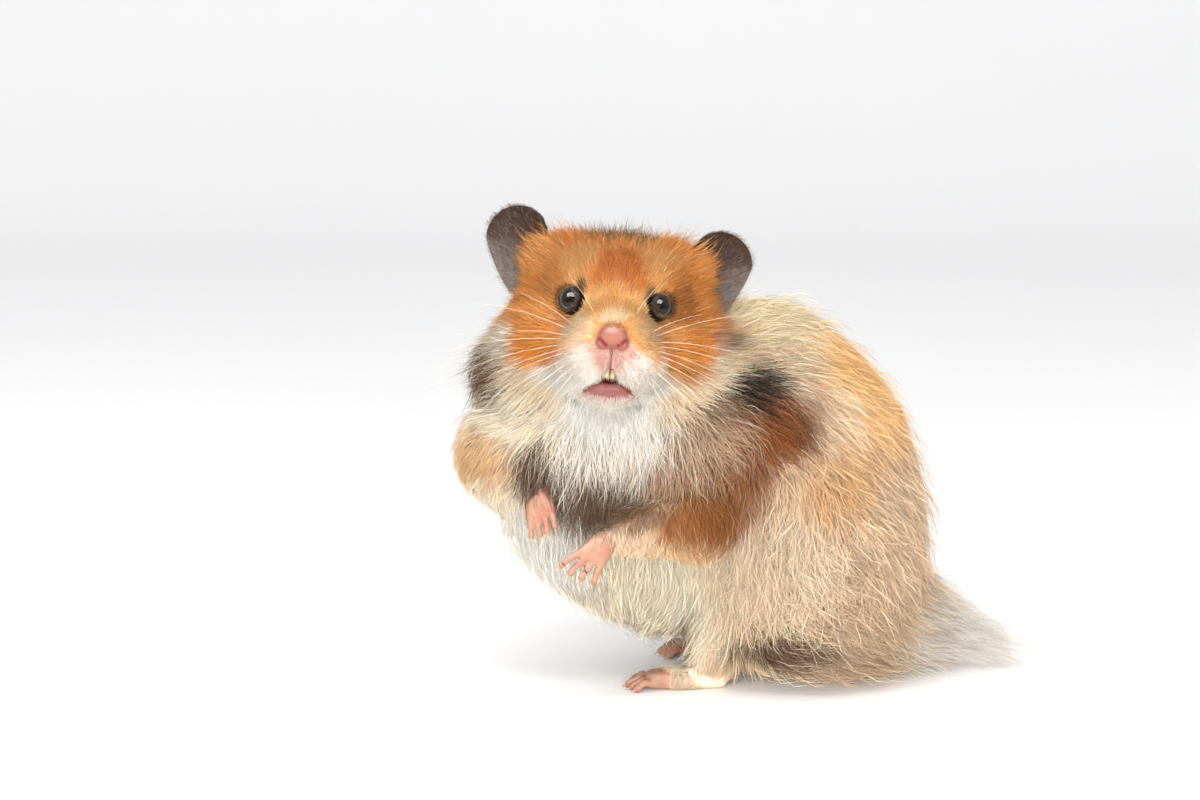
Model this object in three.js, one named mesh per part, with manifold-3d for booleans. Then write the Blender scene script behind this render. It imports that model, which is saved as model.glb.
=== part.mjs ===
// Long-haired Syrian hamster, life size, half risen on its hind legs with its forepaws lifted and
// its head turned to look over its left shoulder. Millimetres, +Z up.
//
// The solids are the animal's outer form, out to the tips of the coat. Flesh is described by
// masses, ellipsoids and tapered bones, whose distances are blended into one field. A sub-part is a
// closed shell moved out from a centre of its own onto that field. Neighbours are parted by planes
// or by each other, with a thin gap between them.
//
// Body frame: the hips point along -X, the animal's left side is at -Y, and the floor is z = 0.
// The last lines move it so that the middle of its footprint is the origin.

import * as THREE from "three";
import { mergeVertices } from "three/addons/utils/BufferGeometryUtils.js";
import Module from "manifold-3d";

const wasm = await Module();
wasm.setup();

// ---------- Driving dimensions ----------

const GAP = 0.3; // between neighbouring solids
const HEAD = { at: [2.9, -2, 78], pitch: -10, roll: 4.5, yaw: -0.8 };
const EYE = { at: [8.2, -12.1, 1.4], radius: 2.9 };
const EAR = {
  at: [20.9, 5, 13.4], // middle of the round upper part
  rise: 6, // from there to the tip
  drop: 12.4, // from there to the notch
  wide: 7.2,
  cup: 3.2,
  thick: 1,
  lean: 6,
  outward: 30,
  droop: 1.1, // how much lower the left ear is held, and higher the right
};
const DIGIT = { radius: 0.95, sides: 5, claw: 1.3 };
const BLUNT = 0.7; // how far a tube's end stands out, as a share of its radius
const DETAIL = { fine: 4, coarse: 3, nose: 2 }; // cuts along each edge of a shell's first ball

// ---------- Materials ----------

const paint = (color, roughness = 0.85) =>
  new THREE.MeshStandardMaterial({ color, roughness, metalness: 0 });
const GOLD = paint(0xcb7a30);
const FAWN = paint(0xdcae78);
const CREAM = paint(0xdcc6aa);
const WHITE = paint(0xeee6da);
const SABLE = paint(0x8b6547);
const BARE = paint(0xe3aa92, 0.6);
const EAR_SKIN = paint(0x5a463d, 0.7);
const EYE_BLACK = paint(0x0b0908, 0.08);
const IVORY = paint(0xe6b25e, 0.35);

// ---------- The blended field ----------

const { degToRad, clamp, lerp } = THREE.MathUtils;

// Nearly the signed distance to an ellipsoid: its level function over the length of its gradient.
function mass(at, r, { turn = [0, 0, 0], blend = 6 } = {}) {
  const back = new THREE.Matrix4()
    .makeRotationFromEuler(new THREE.Euler(...turn.map(degToRad)))
    .setPosition(...at)
    .invert();
  const distance = (point) => {
    const p = point.clone().applyMatrix4(back);
    const level = Math.hypot(p.x / r[0], p.y / r[1], p.z / r[2]);
    const slope = Math.hypot(p.x / r[0] ** 2, p.y / r[1] ** 2, p.z / r[2] ** 2);
    return slope < 1e-9 ? -Math.min(...r) : (level * (level - 1)) / slope;
  };
  return { distance, blend };
}

// A round bar from one point to another whose radius changes evenly along it.
function bone(from, to, startRadius, endRadius, { blend = 4 } = {}) {
  const start = new THREE.Vector3(...from);
  const along = new THREE.Vector3(...to).sub(start);
  const distance = (point) => {
    const p = point.clone().sub(start);
    const share = clamp(p.dot(along) / along.lengthSq(), 0, 1);
    return p.addScaledVector(along, -share).length() - lerp(startRadius, endRadius, share);
  };
  return { distance, blend };
}

const mirrored = (at, r, options) => [
  mass(at, r, options),
  mass([-at[0], at[1], at[2]], r, options),
];

// The smaller of two distances, rounded off over a width k where they are close.
function blended(a, b, k) {
  const h = Math.max(k - Math.abs(a - b), 0) / k;
  return Math.min(a, b) - (h * h * h * k) / 6;
}

const fieldOf = (parts) => (point) =>
  parts.reduce((d, part) => blended(d, part.distance(point), part.blend), 1e3);

// ---------- Solids ----------

function solidOf(geometry) {
  const bare = geometry.index ? geometry.toNonIndexed() : geometry.clone();
  bare.deleteAttribute("normal");
  bare.deleteAttribute("uv");
  const merged = mergeVertices(bare, 1e-4);
  return new wasm.Manifold(
    new wasm.Mesh({
      numProp: 3,
      vertProperties: merged.attributes.position.array,
      triVerts: new Uint32Array(merged.index.array),
    }),
  );
}

function geometryOf(solid) {
  const mesh = solid.getMesh();
  return new THREE.BufferGeometry()
    .setAttribute("position", new THREE.BufferAttribute(mesh.vertProperties, 3))
    .setIndex(new THREE.BufferAttribute(mesh.triVerts, 1));
}

const moved = (solid, matrix) => solidOf(geometryOf(solid).applyMatrix4(matrix));
const cutAll = (solid, cutters) => cutters.reduce((s, cutter) => s.subtract(cutter), solid);
const joinAll = (solids) => solids.reduce((s, other) => s.add(other));

// A geodesic ball whose points are moved out from the centre to where the field equals grow.
function shell(field, centre, detail, grow = 0) {
  const ball = new THREE.IcosahedronGeometry(1, detail);
  const points = ball.attributes.position;
  const from = new THREE.Vector3(...centre);
  const ray = new THREE.Vector3();
  const level = (t) => field(from.clone().addScaledVector(ray, t)) - grow;
  for (let i = 0; i < points.count; i++) {
    ray.fromBufferAttribute(points, i).normalize();
    let inside = 0;
    let outside = 1.5;
    while (level(outside) < 0) {
      inside = outside;
      outside += 1.5;
    }
    for (let step = 0; step < 16; step++) {
      const middle = (inside + outside) / 2;
      if (level(middle) < 0) inside = middle;
      else outside = middle;
    }
    const at = from.clone().addScaledVector(ray, outside);
    points.setXYZ(i, at.x, at.y, at.z);
  }
  return solidOf(ball);
}

// A grid of points, closed round each row, with a single point at either end.
function wrapped(first, rows, last) {
  const vertices = [first, ...rows.flat(), last].flatMap((v) => [v.x, v.y, v.z]);
  const around = rows[0].length;
  const end = rows.length * around + 1;
  const faces = [];
  for (let s = 0; s < around; s++) {
    const next = (s + 1) % around;
    faces.push(0, 1 + next, 1 + s);
    for (let k = 0; k < rows.length - 1; k++) {
      const low = 1 + k * around;
      const high = low + around;
      faces.push(low + s, low + next, high + next, low + s, high + next, high + s);
    }
    faces.push(end, end - around + s, end - around + next);
  }
  const positions = new THREE.Float32BufferAttribute(vertices, 3);
  const build = (index) =>
    solidOf(new THREE.BufferGeometry().setAttribute("position", positions).setIndex(index));
  const solid = build(faces);
  return solid.volume() > 0 ? solid : build(faces.reverse());
}

// A tube with blunt ends along stations of [x, y, z, radius].
function tube(stations, sides) {
  const line = new THREE.CatmullRomCurve3(stations.map((s) => new THREE.Vector3(...s)));
  const steps = stations.length - 1;
  const frames = line.computeFrenetFrames(steps, false);
  const rows = stations.map(([, , , radius], k) => {
    const middle = line.getPoint(k / steps);
    return Array.from({ length: sides }, (_, s) => {
      const angle = (2 * Math.PI * s) / sides;
      return middle
        .clone()
        .addScaledVector(frames.normals[k], Math.cos(angle) * radius)
        .addScaledVector(frames.binormals[k], Math.sin(angle) * radius);
    });
  });
  const end = (k, lift) =>
    line.getPoint(k / steps).addScaledVector(line.getTangent(k / steps), lift * stations[k][3]);
  return wrapped(end(0, -BLUNT), rows, end(steps, BLUNT));
}

// Everything on one side of a plane through a point, as a block to cut with.
function beyond(point, normal) {
  const size = 400;
  const block = new THREE.BoxGeometry(size, size, size);
  block.translate(0, 0, size / 2);
  const axis = new THREE.Vector3(...normal).normalize();
  block.applyQuaternion(
    new THREE.Quaternion().setFromUnitVectors(new THREE.Vector3(0, 0, 1), axis),
  );
  block.translate(...point);
  return solidOf(block);
}

// The two sides of a parting plane, each standing half a gap off it.
function parting(point, normal) {
  const axis = new THREE.Vector3(...normal).normalize().multiplyScalar(GAP / 2);
  const off = (sign) => new THREE.Vector3(...point).addScaledVector(axis, sign).toArray();
  return {
    keepBehind: beyond(off(-1), normal),
    keepAhead: beyond(off(1), normal.map((n) => -n)),
  };
}

const underground = beyond([0, 0, 0], [0, 0, -1]);

// ---------- Head, in its own frame: x towards its left ear, -y out of the nose ----------

const headPlace = new THREE.Matrix4()
  .makeRotationFromEuler(
    new THREE.Euler(...[HEAD.pitch, HEAD.roll, HEAD.yaw].map(degToRad), "YXZ"),
  )
  .setPosition(...HEAD.at);
const inHead = (solid) => moved(solid, headPlace);

const headField = fieldOf([
  mass([0, 3, 1.6], [19.2, 16.5, 15]), // braincase under its fur
  ...mirrored([11.5, 4.5, 9.4], [7, 8, 6.6], { blend: 8 }), // fur in front of the ears
  mass([0, -6.5, 4.2], [12.8, 10.5, 9.2]), // brow
  mass([0, -14.4, -5.2], [8.6, 9.4, 7]), // bridge of the muzzle
  ...mirrored([5, -14.6, -9.2], [6.4, 7, 6], { blend: 4 }), // whisker pads
  ...mirrored([12.4, -1, -5.6], [10.8, 12, 10.4], { blend: 8 }), // cheeks
  mass([0, -7.6, -13], [9.6, 9.4, 6.8]), // lower jaw
]);
const headShell = (detail, grow = 0) => shell(headField, [0, -3, -1], detail, grow);

function eyeBall(side, grow = 0) {
  const ball = new THREE.SphereGeometry(EYE.radius + grow, 12, 8);
  ball.translate(side * EYE.at[0], EYE.at[1], EYE.at[2]);
  return solidOf(ball);
}

const nosePad = (grow = 0) =>
  shell(
    fieldOf([
      mass([0, -22.6, -4.6], [3.3, 2.6, 2.3], { blend: 2 }),
      ...mirrored([1.9, -22.8, -6.1], [1.7, 1.9, 1.7], { blend: 2 }), // wings of the nostrils
    ]),
    [0, -22.5, -5.4],
    DETAIL.nose,
    grow,
  );
const nostrils = [-1, 1].map((side) =>
  tube(
    [
      [side * 1.5, -25.4, -5.9, 0.45],
      [side * 1.9, -23.6, -5.9, 0.4],
    ],
    DIGIT.sides,
  ),
);

// The line where the lips meet is a low tent, highest under the nose.
const mouthLine = tube(
  [
    [-6.2, -15.6, -17.2, 0.35],
    [-3.2, -19, -15.4, 0.5],
    [0, -20.6, -13.6, 0.8],
    [3.2, -19, -15.4, 0.5],
    [6.2, -15.6, -17.2, 0.35],
  ],
  8,
);

// Two upper incisors side by side, each a short bar that narrows to its edge.
const incisors = (grow = 0) =>
  joinAll(
    [-0.5, 0.5].map((x) =>
      tube(
        [
          [x, -18.9, -11.9, 0.62 + grow],
          [x, -19.6, -14, 0.5 + grow],
        ],
        6,
      ),
    ),
  );

// A pinna is a cupped leaf, hollow to the front, round at the tip and narrow at the notch.
function pinna(side, grow = 0) {
  const rounds = 3;
  const spokes = 16;
  const turn = new THREE.Euler(0, degToRad(EAR.lean), degToRad(EAR.outward), "ZYX");
  const point = (ring, spoke, face) => {
    const share = ring / rounds;
    const angle = (2 * Math.PI * spoke) / spokes;
    const up = Math.sin(angle);
    const length = (up > 0 ? EAR.rise : EAR.drop) + grow;
    const narrowing = up > 0 ? 1 : 1 + 0.42 * up;
    const thickness = (EAR.thick / 2) * Math.sqrt(1 - 0.5 * share ** 4) + grow;
    const p = new THREE.Vector3(
      (EAR.wide + grow) * share * Math.cos(angle) * narrowing,
      EAR.cup * (1 - share * share) + face * thickness,
      length * share * up,
    );
    p.applyEuler(turn).add(new THREE.Vector3(...EAR.at));
    p.x *= side;
    p.z -= side * EAR.droop;
    return p;
  };
  const row = (ring, face) =>
    Array.from({ length: spokes }, (_, spoke) => point(ring, spoke, face));
  const outwards = Array.from({ length: rounds }, (_, k) => row(k + 1, -1));
  const inwards = Array.from({ length: rounds }, (_, k) => row(rounds - k, 1));
  return wrapped(point(0, 0, -1), [...outwards, ...inwards], point(0, 0, 1));
}

// ---------- Body below the head ----------

const LEG = { left: -1.5, right: 29.5 }; // how far across the body the middle of each thigh lies
const thighMasses = (y) => {
  const footSide = y + Math.sign(14 - y) * 1.5;
  return [
    mass([40.5, y, 27], [26, 15, 22.5], { turn: [0, 18, 0], blend: 8 }),
    bone([27, footSide, 15], [24.5, footSide, 6], 9, 6.4), // shank, folded under the thigh
  ];
};

const bodyField = fieldOf([
  mass([44.5, 14, 29], [25.6, 30, 29], { blend: 12 }), // rump
  mass([28, 14, 45], [31, 28, 36.5], { turn: [0, 22, 0], blend: 12 }), // withers and flanks
  mass([43, 15, 46], [22.4, 27, 22], { blend: 12 }), // middle of the back
  mass([-3, 6, 49.5], [26, 22, 20], { blend: 12 }), // chest
  mass([22, -1, 50], [21, 19, 22], { blend: 12 }), // left shoulder
  mass([-1, 5, 65.5], [28.5, 19, 15], { blend: 10 }), // ruff round the neck
  mass([-1, 10, 35], [21, 18.5, 18.5], { blend: 8 }), // belly below the forepaws
  mass([9, 13, 31], [21, 19, 22], { blend: 12 }), // lower belly
  mass([45.5, 13, 9], [25, 22, 13], { blend: 10 }), // long hair that brushes the floor
  ...thighMasses(LEG.left),
  ...thighMasses(LEG.right),
]);

const neckCut = parting([4, 6, 57.5], [-0.66, -0.3, 0.7]);
const chestCut = parting([15, 12, 46], [1, 0.28, -0.35]);
const rumpCut = parting([41, 14, 30], [1, 0.1, -0.75]);

// The part of the body that is a hind leg: what lies inside an oval bar that enters from its side.
const HAUNCH = { x: 40, z: 21.5, long: 24.5, high: 21.8, reach: 60, depth: 9 };
function haunch(side, grow = 0) {
  const bar = new THREE.CylinderGeometry(1, 1, HAUNCH.reach, 18);
  bar.scale(HAUNCH.long + grow, 1, HAUNCH.high + grow);
  const inner = LEG[side] + Math.sign(14 - LEG[side]) * (HAUNCH.depth + grow);
  const outward = Math.sign(LEG[side] - 14);
  bar.translate(HAUNCH.x, inner + (outward * HAUNCH.reach) / 2, HAUNCH.z);
  return solidOf(bar);
}

// ---------- Legs ----------

// An arm in its fur: shoulder to elbow to wrist.
const armField = ([shoulder, elbow, wrist], [atShoulder, atElbow, atWrist]) =>
  fieldOf([
    bone(shoulder, elbow, atShoulder, atElbow),
    bone(elbow, wrist, atElbow, atWrist, { blend: 5 }),
  ]);
const ARM = {
  left: {
    joints: [[25, 3, 52], [20, -12, 38.5], [1.6, -19.4, 35.6]],
    radii: [11, 9.6, 4.4],
  },
  right: {
    joints: [[-10, 5, 55], [-18.6, -1, 49.3], [-12.2, -9, 42.8]],
    radii: [13, 11.2, 4.6],
  },
};
const armShell = ({ joints, radii }, grow = 0) =>
  shell(armField(joints, radii), joints[1], DETAIL.coarse, grow);

// A digit with its claw, bent down from knuckle to tip.
function digit(knuckle, reach, drop, grow = 0) {
  const radius = DIGIT.radius + grow;
  const root = new THREE.Vector3(...knuckle);
  const tip = root.clone().add(new THREE.Vector3(...reach));
  const middle = root.clone().lerp(tip, 0.55).addScaledVector(new THREE.Vector3(...drop), -1);
  const station = (v, r) => [v.x, v.y, v.z, r];
  const toe = tube(
    [station(root, radius), station(middle, radius), station(tip, radius * 0.86)],
    DIGIT.sides,
  );
  const ahead = tip.clone().sub(middle).normalize();
  const claw = new THREE.ConeGeometry(0.36 + grow, DIGIT.claw + radius, 4);
  claw.translate(0, (DIGIT.claw + radius) / 2, 0);
  claw.applyQuaternion(
    new THREE.Quaternion().setFromUnitVectors(new THREE.Vector3(0, 1, 0), ahead),
  );
  claw.translate(tip.x, tip.y, tip.z);
  return toe.add(solidOf(claw));
}

// A lifted forepaw: a palm, and four digits fanned about the line from wrist to fingertips.
function forepaw({ wrist, reach, across, fan }, grow = 0) {
  const start = new THREE.Vector3(...wrist);
  const line = new THREE.Vector3(...reach);
  const side = new THREE.Vector3(...across).normalize();
  const palmEnd = start.clone().addScaledVector(line, 0.42);
  const palm = [-1, 0, 1].map((k) =>
    tube(
      [
        [...start.clone().addScaledVector(side, k * 0.9).toArray(), 1.8 + grow],
        [...palmEnd.clone().addScaledVector(side, k * 1.7).toArray(), 1.5 + grow],
      ],
      5,
    ),
  );
  const digits = [-1.5, -0.5, 0.5, 1.5].map((k) => {
    const knuckle = palmEnd.clone().addScaledVector(side, k * 1.4);
    const length = 0.58 - 0.05 * Math.abs(k);
    const ray = line.clone().multiplyScalar(length).addScaledVector(side, k * fan);
    return digit(knuckle.toArray(), ray.toArray(), [0, 0.5, -0.2], grow);
  });
  return joinAll([...palm, ...digits]);
}
const FOREPAW = {
  left: { wrist: [0.2, -20.6, 34.2], reach: [-5.2, -2.4, -5.6], across: [0.9, 0.1, -0.5], fan: 0.9 },
  right: { wrist: [-12.3, -10.6, 41], reach: [1, -2.4, -6.1], across: [1, 0, 0.45], fan: 0.15 },
};

// A hind foot flat on the floor: a long sole, and five toes spread at its front.
function hindFoot({ heel, ball }, grow = 0) {
  const back = new THREE.Vector3(...heel);
  const front = new THREE.Vector3(...ball);
  const ahead = front.clone().sub(back).setZ(0).normalize();
  const side = new THREE.Vector3(-ahead.y, ahead.x, 0);
  const sole = [-0.8, 0.8].map((k) =>
    tube(
      [
        [...back.clone().addScaledVector(side, k * 0.7).toArray(), 2.4 + grow],
        [...front.clone().addScaledVector(side, k * 1.7).setZ(1.7).toArray(), 1.9 + grow],
      ],
      6,
    ),
  );
  const toes = [-2, -1, 0, 1, 2].map((k) => {
    const knuckle = front.clone().addScaledVector(side, k * 1.35).setZ(1.5);
    const length = 5.2 - 0.75 * Math.abs(k);
    const ray = ahead.clone().multiplyScalar(length).addScaledVector(side, k * 0.65);
    ray.z = -0.65;
    return digit(knuckle.toArray(), ray.toArray(), [0, 0, -0.7], grow);
  });
  return joinAll([...sole, ...toes]);
}
const HIND_FOOT = {
  left: { heel: [24, -0.5, 2.2], ball: [11, -1.2, 1.8] },
  right: { heel: [31, 26.4, 2.2], ball: [18.2, 25.6, 1.8] },
};

// The short tail, inside the long hair that trails from the rump along the floor.
const tailShell = (grow) =>
  shell(
    fieldOf([
      bone([62, 16, 12], [78, 17, 6], 13, 7.5, { blend: 6 }),
      bone([78, 17, 6], [90, 17, 1.5], 7.5, 2.6, { blend: 6 }),
    ]),
    [74, 17, 6],
    DETAIL.coarse,
    grow,
  );

// ---------- Assembly ----------

const animal = new THREE.Group();
function add(name, solid, material) {
  const mesh = new THREE.Mesh(geometryOf(solid), material);
  mesh.name = name;
  animal.add(mesh);
}

const SIDES = { left: 1, right: -1 };
const sideNames = Object.keys(SIDES);
const earRooms = sideNames.map((name) => pinna(SIDES[name], GAP));
const eyeRooms = sideNames.map((name) => eyeBall(SIDES[name], GAP));
const headCuts = [...earRooms, ...eyeRooms, nosePad(GAP), mouthLine, incisors(GAP)];

add("head", inHead(cutAll(headShell(DETAIL.fine), headCuts)), GOLD);
add("nose", inHead(cutAll(nosePad(), nostrils)), BARE);
add("incisors", inHead(incisors()), IVORY);
for (const name of sideNames) {
  add(`eye_${name}`, inHead(eyeBall(SIDES[name])), EYE_BLACK);
  add(`ear_${name}`, inHead(pinna(SIDES[name])), EAR_SKIN);
}

// Flesh below the head: each part is cut to make room for those before it.
const rooms = [underground, inHead(headShell(DETAIL.coarse, 2 * GAP)), ...earRooms.map(inHead)];
function addLimb(name, make, material) {
  add(name, cutAll(make(0), rooms), material);
  rooms.push(make(GAP));
}
for (const name of sideNames) {
  addLimb(`forepaw_${name}`, (grow) => forepaw(FOREPAW[name], grow), BARE);
  addLimb(`hind_foot_${name}`, (grow) => hindFoot(HIND_FOOT[name], grow), BARE);
}
for (const name of sideNames)
  addLimb(`foreleg_${name}`, (grow) => armShell(ARM[name], grow), SABLE);
addLimb("tail", tailShell, CREAM);

const bodyPart = (centre, detail, planes = []) =>
  cutAll(shell(bodyField, centre, detail), [...planes, ...rooms]);
for (const name of sideNames) {
  const leg = bodyPart([34, LEG[name], 20], DETAIL.coarse).intersect(haunch(name));
  add(`hind_leg_${name}`, leg, CREAM);
}
for (const name of sideNames) rooms.push(haunch(name, GAP));
add("neck", bodyPart([0, 4, 64], DETAIL.fine, [neckCut.keepAhead]), FAWN);
const chestPlanes = [neckCut.keepBehind, chestCut.keepBehind];
const backPlanes = [neckCut.keepBehind, chestCut.keepAhead];
add("chest", bodyPart([0, 6, 48], DETAIL.coarse, chestPlanes), WHITE);
add("trunk", bodyPart([27, 14, 44], DETAIL.fine, [...backPlanes, rumpCut.keepBehind]), CREAM);
add("rump", bodyPart([50, 14, 20], DETAIL.fine, [...backPlanes, rumpCut.keepAhead]), FAWN);

// The origin is the middle of the footprint, on the floor.
const box = new THREE.Box3().setFromObject(animal);
const middle = box.getCenter(new THREE.Vector3());
animal.position.set(-middle.x, -middle.y, 0);

export default animal;
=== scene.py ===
"""Long-haired Syrian hamster, life size, half risen on its hind legs with its forepaws lifted.

The coat's outer form is a blended field of masses and bones, as the solids' is, but rounder under the
chin. The skin lies inside it by the depth of the coat, and each hair is a thin closed spindle that starts
on the skin and lies down towards that form. Shapes are worked out in millimetres in the body frame: the
hips point along -X, the animal's left side is at -Y, and the floor is z = 0. Each mesh is moved into the
frame of the solids as it is made.
"""

import bpy
import numpy as np
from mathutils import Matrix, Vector


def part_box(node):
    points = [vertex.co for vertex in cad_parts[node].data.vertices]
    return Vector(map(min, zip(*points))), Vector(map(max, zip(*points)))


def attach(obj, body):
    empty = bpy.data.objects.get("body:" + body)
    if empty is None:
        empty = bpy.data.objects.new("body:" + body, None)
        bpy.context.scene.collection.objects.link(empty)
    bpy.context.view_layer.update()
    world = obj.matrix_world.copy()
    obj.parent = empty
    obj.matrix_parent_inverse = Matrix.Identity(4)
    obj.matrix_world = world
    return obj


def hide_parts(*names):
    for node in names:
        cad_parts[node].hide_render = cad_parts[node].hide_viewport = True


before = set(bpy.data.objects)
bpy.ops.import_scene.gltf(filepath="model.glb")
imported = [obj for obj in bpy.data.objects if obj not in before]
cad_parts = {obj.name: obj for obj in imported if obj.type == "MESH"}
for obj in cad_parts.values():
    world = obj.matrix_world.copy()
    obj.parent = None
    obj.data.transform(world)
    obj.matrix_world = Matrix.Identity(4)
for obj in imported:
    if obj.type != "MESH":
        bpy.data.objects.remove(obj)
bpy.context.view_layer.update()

# ---------- Place of the animal ----------
# The head is tilted up and a little over to one side. The solids' left eye says where the body frame lies
# among them, because an eyeball is the same from every side.

MM = 0.001
HEAD_AT = np.array([2.9, -2.0, 78.0])
EYE_AT = np.array([8.2, -12.1, 1.4])  # left eye, in the head's frame
EYE_RADIUS = 2.9


def turned(x=0.0, y=0.0, z=0.0):
    """Matrix that turns a column about Z, then X, then Y, by degrees."""
    (cx, cy, cz), (sx, sy, sz) = np.cos(np.radians([x, y, z])), np.sin(np.radians([x, y, z]))
    about_x = np.array([[1, 0, 0], [0, cx, -sx], [0, sx, cx]])
    about_y = np.array([[cy, 0, sy], [0, 1, 0], [-sy, 0, cy]])
    about_z = np.array([[cz, -sz, 0], [sz, cz, 0], [0, 0, 1]])
    return about_y @ about_x @ about_z


HEAD_TURN = turned(x=-10, y=4.5, z=-0.8)


def to_head(points):
    """Body frame to the head's frame: x towards its left ear, -y out of the nose."""
    return (points - HEAD_AT) @ HEAD_TURN


def from_head(points):
    """The head's frame to the body frame."""
    return np.asarray(points, float) @ HEAD_TURN.T + HEAD_AT


eye_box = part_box("eye_left")
PLACE = np.array(eye_box[0] + eye_box[1]) / 2 / MM - from_head(EYE_AT)

# ---------- Camera ----------
# A short telephoto a little above the animal's own height, so that the whole figure shows with room round
# it.

LOOK_AT = np.array([0.0, 15.0, 57.3])
LOOK_DOWN = 10.0
LOOK_FROM = 625.0

down = np.radians(LOOK_DOWN)
eye_point = LOOK_AT - LOOK_FROM * np.array([0, np.cos(down), -np.sin(down)])
camera_data = bpy.data.cameras.new("camera")
camera_data.lens = 90
camera_data.sensor_width = 36
camera = bpy.data.objects.new("camera", camera_data)
camera.location = (eye_point + PLACE) * MM
camera.rotation_euler = (np.radians(90) - down, 0, 0)
bpy.context.scene.collection.objects.link(camera)
bpy.context.scene.camera = camera

# ---------- Form of the animal ----------
# Flesh and coat together: the head, the trunk with its haunches, the arms and the tail. Each mass says
# how deep the coat is over it, and the skin is the same blend with every mass smaller by its depth.


def mass(at, radii, blend=6.0, depth=8.0, turn=0.0):
    """Ellipsoid turned about Y. Its distance is the level function times (level - 1) over the length of
    its slope."""
    at, radii, back = np.array(at, float), np.array(radii, float), turned(y=turn)

    def distance(p):
        q = (p - at) @ back / radii
        level = np.sqrt((q * q).sum(1))
        slope = np.sqrt(((q / radii) ** 2).sum(1))
        return level * (level - 1) / np.maximum(slope, 1e-6)

    return distance, blend, depth


def bone(start, end, start_radius, end_radius, blend=4.0, depth=6.0):
    """Round bar whose radius changes evenly: distance to the nearest point of the line, less the radius
    there."""
    start, along = np.array(start, float), np.array(end, float) - np.array(start, float)

    def distance(p):
        q = p - start
        share = np.clip(q @ along / (along @ along), 0, 1)
        away = q - share[:, None] * along
        return np.sqrt((away * away).sum(1)) - (start_radius + (end_radius - start_radius) * share)

    return distance, blend, depth


def both(at, radii, **words):
    """The same mass on the left and on the right."""
    return [mass(at, radii, **words), mass([-at[0], at[1], at[2]], radii, **words)]


def blended(a, b, width):
    """The smaller of two levels, rounded off by a cubic over a width where they are close."""
    near = np.maximum(width - np.abs(a - b), 0) / width
    return np.minimum(a, b) - near**3 * width / 6


def level_of(parts, p, coat):
    """Blend of the parts' levels at points p. coat is 1 for the outer form and 0 for the skin."""
    level = None
    for distance, blend, depth in parts:
        own = distance(p) + (1 - coat) * depth
        level = own if level is None else blended(level, own, blend)
    return level


HEAD = [
    mass([0, 3, 1.6], [19.2, 16.5, 15], depth=2.6),  # braincase
    *both([11.5, 4.5, 9.4], [7, 8, 6.6], blend=8, depth=3.0),  # fur in front of the ears
    mass([0, -6.5, 4.2], [12.8, 10.5, 9.2], depth=1.6),  # brow
    mass([0, -14.4, -5.2], [8.6, 9.4, 7], depth=1.0),  # bridge of the muzzle
    *both([5, -14.6, -9.2], [6.4, 7, 6], blend=4, depth=0.9),  # whisker pads
    *both([12.4, -1, -5.6], [10.8, 12, 10.4], blend=8, depth=3.6),  # cheeks
    mass([0, -7.6, -13], [9.6, 9.4, 6.8], depth=1.8),  # lower jaw
]
LEG_Y = {"left": -1.5, "right": 29.5}
TRUNK = [
    mass([44.5, 14, 29], [25.6, 30, 29], blend=12, depth=9),  # rump
    mass([28, 14, 45], [31, 28, 36.5], turn=22, blend=12, depth=8),  # withers and flanks
    mass([43, 15, 46], [22.4, 27, 22], blend=12, depth=8),  # middle of the back
    mass([-3, 6, 49.5], [26, 22, 20], blend=12, depth=8),  # chest
    mass([22, -1, 50], [21, 19, 22], blend=12, depth=8),  # left shoulder
    mass([-1, 5, 65.5], [28.5, 19, 15], blend=10, depth=8),  # ruff
    mass([-1, 10, 35], [21, 18.5, 18.5], blend=8, depth=6),  # belly below the forepaws
    mass([9, 13, 31], [21, 19, 22], blend=12, depth=6),  # lower belly
    mass([45.5, 13, 9], [25, 22, 13], blend=10, depth=9),  # long hair that reaches the floor
]
for leg_y in LEG_Y.values():
    foot_y = leg_y + np.sign(14 - leg_y) * 1.5
    TRUNK.append(mass([40.5, leg_y, 27], [26, 15, 22.5], turn=18, blend=8, depth=7))
    TRUNK.append(bone([27, foot_y, 15], [24.5, foot_y, 6], 9, 6.4, depth=4))
ARMS = [
    bone([25, 3, 52], [20, -12, 38.5], 11, 9.6, blend=6, depth=5),
    bone([20, -12, 38.5], [1.6, -19.4, 35.6], 9.6, 4.4, blend=5, depth=2.6),
    bone([-10, 5, 55], [-18.6, -1, 49.3], 13, 11.2, blend=6, depth=5),
    bone([-18.6, -1, 49.3], [-12.2, -9, 42.8], 11.2, 4.6, blend=5, depth=2.6),
]
TAIL = [
    bone([62, 16, 12], [78, 17, 6], 13, 7.5, blend=6, depth=7),
    bone([78, 17, 6], [90, 17, 1.5], 7.5, 2.6, blend=6, depth=5),
]
NECK_BLEND = 11.0  # how broadly the head runs into the body


def flesh(p, coat):
    """The head joined to the trunk, arms and tail."""
    head = level_of(HEAD, to_head(p), coat)
    body = level_of(TRUNK + ARMS + TAIL, p, coat)
    return blended(head, body, NECK_BLEND)


# ---------- Paws and feet ----------
# Bare pink skin. A forepaw has four fingers that hang from a short palm, and a hind foot has five toes on
# a long flat sole. Each finger is two short bones with a round pad at its tip.

FOREPAW = {
    "left": dict(wrist=[0.2, -20.6, 34.2], reach=[-5.2, -2.4, -5.6], across=[0.9, 0.1, -0.5], fan=0.9),
    "right": dict(wrist=[-12.3, -10.6, 41], reach=[1, -2.4, -6.1], across=[1, 0, 0.45], fan=0.15),
}
HIND_FOOT = {
    "left": {"heel": [24, -0.5, 2.2], "ball": [11, -1.2, 1.8]},
    "right": {"heel": [31, 26.4, 2.2], "ball": [18.2, 25.6, 1.8]},
}
CLAW = 1.2
claw_bases = []  # where each claw starts and which way it points


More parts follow.
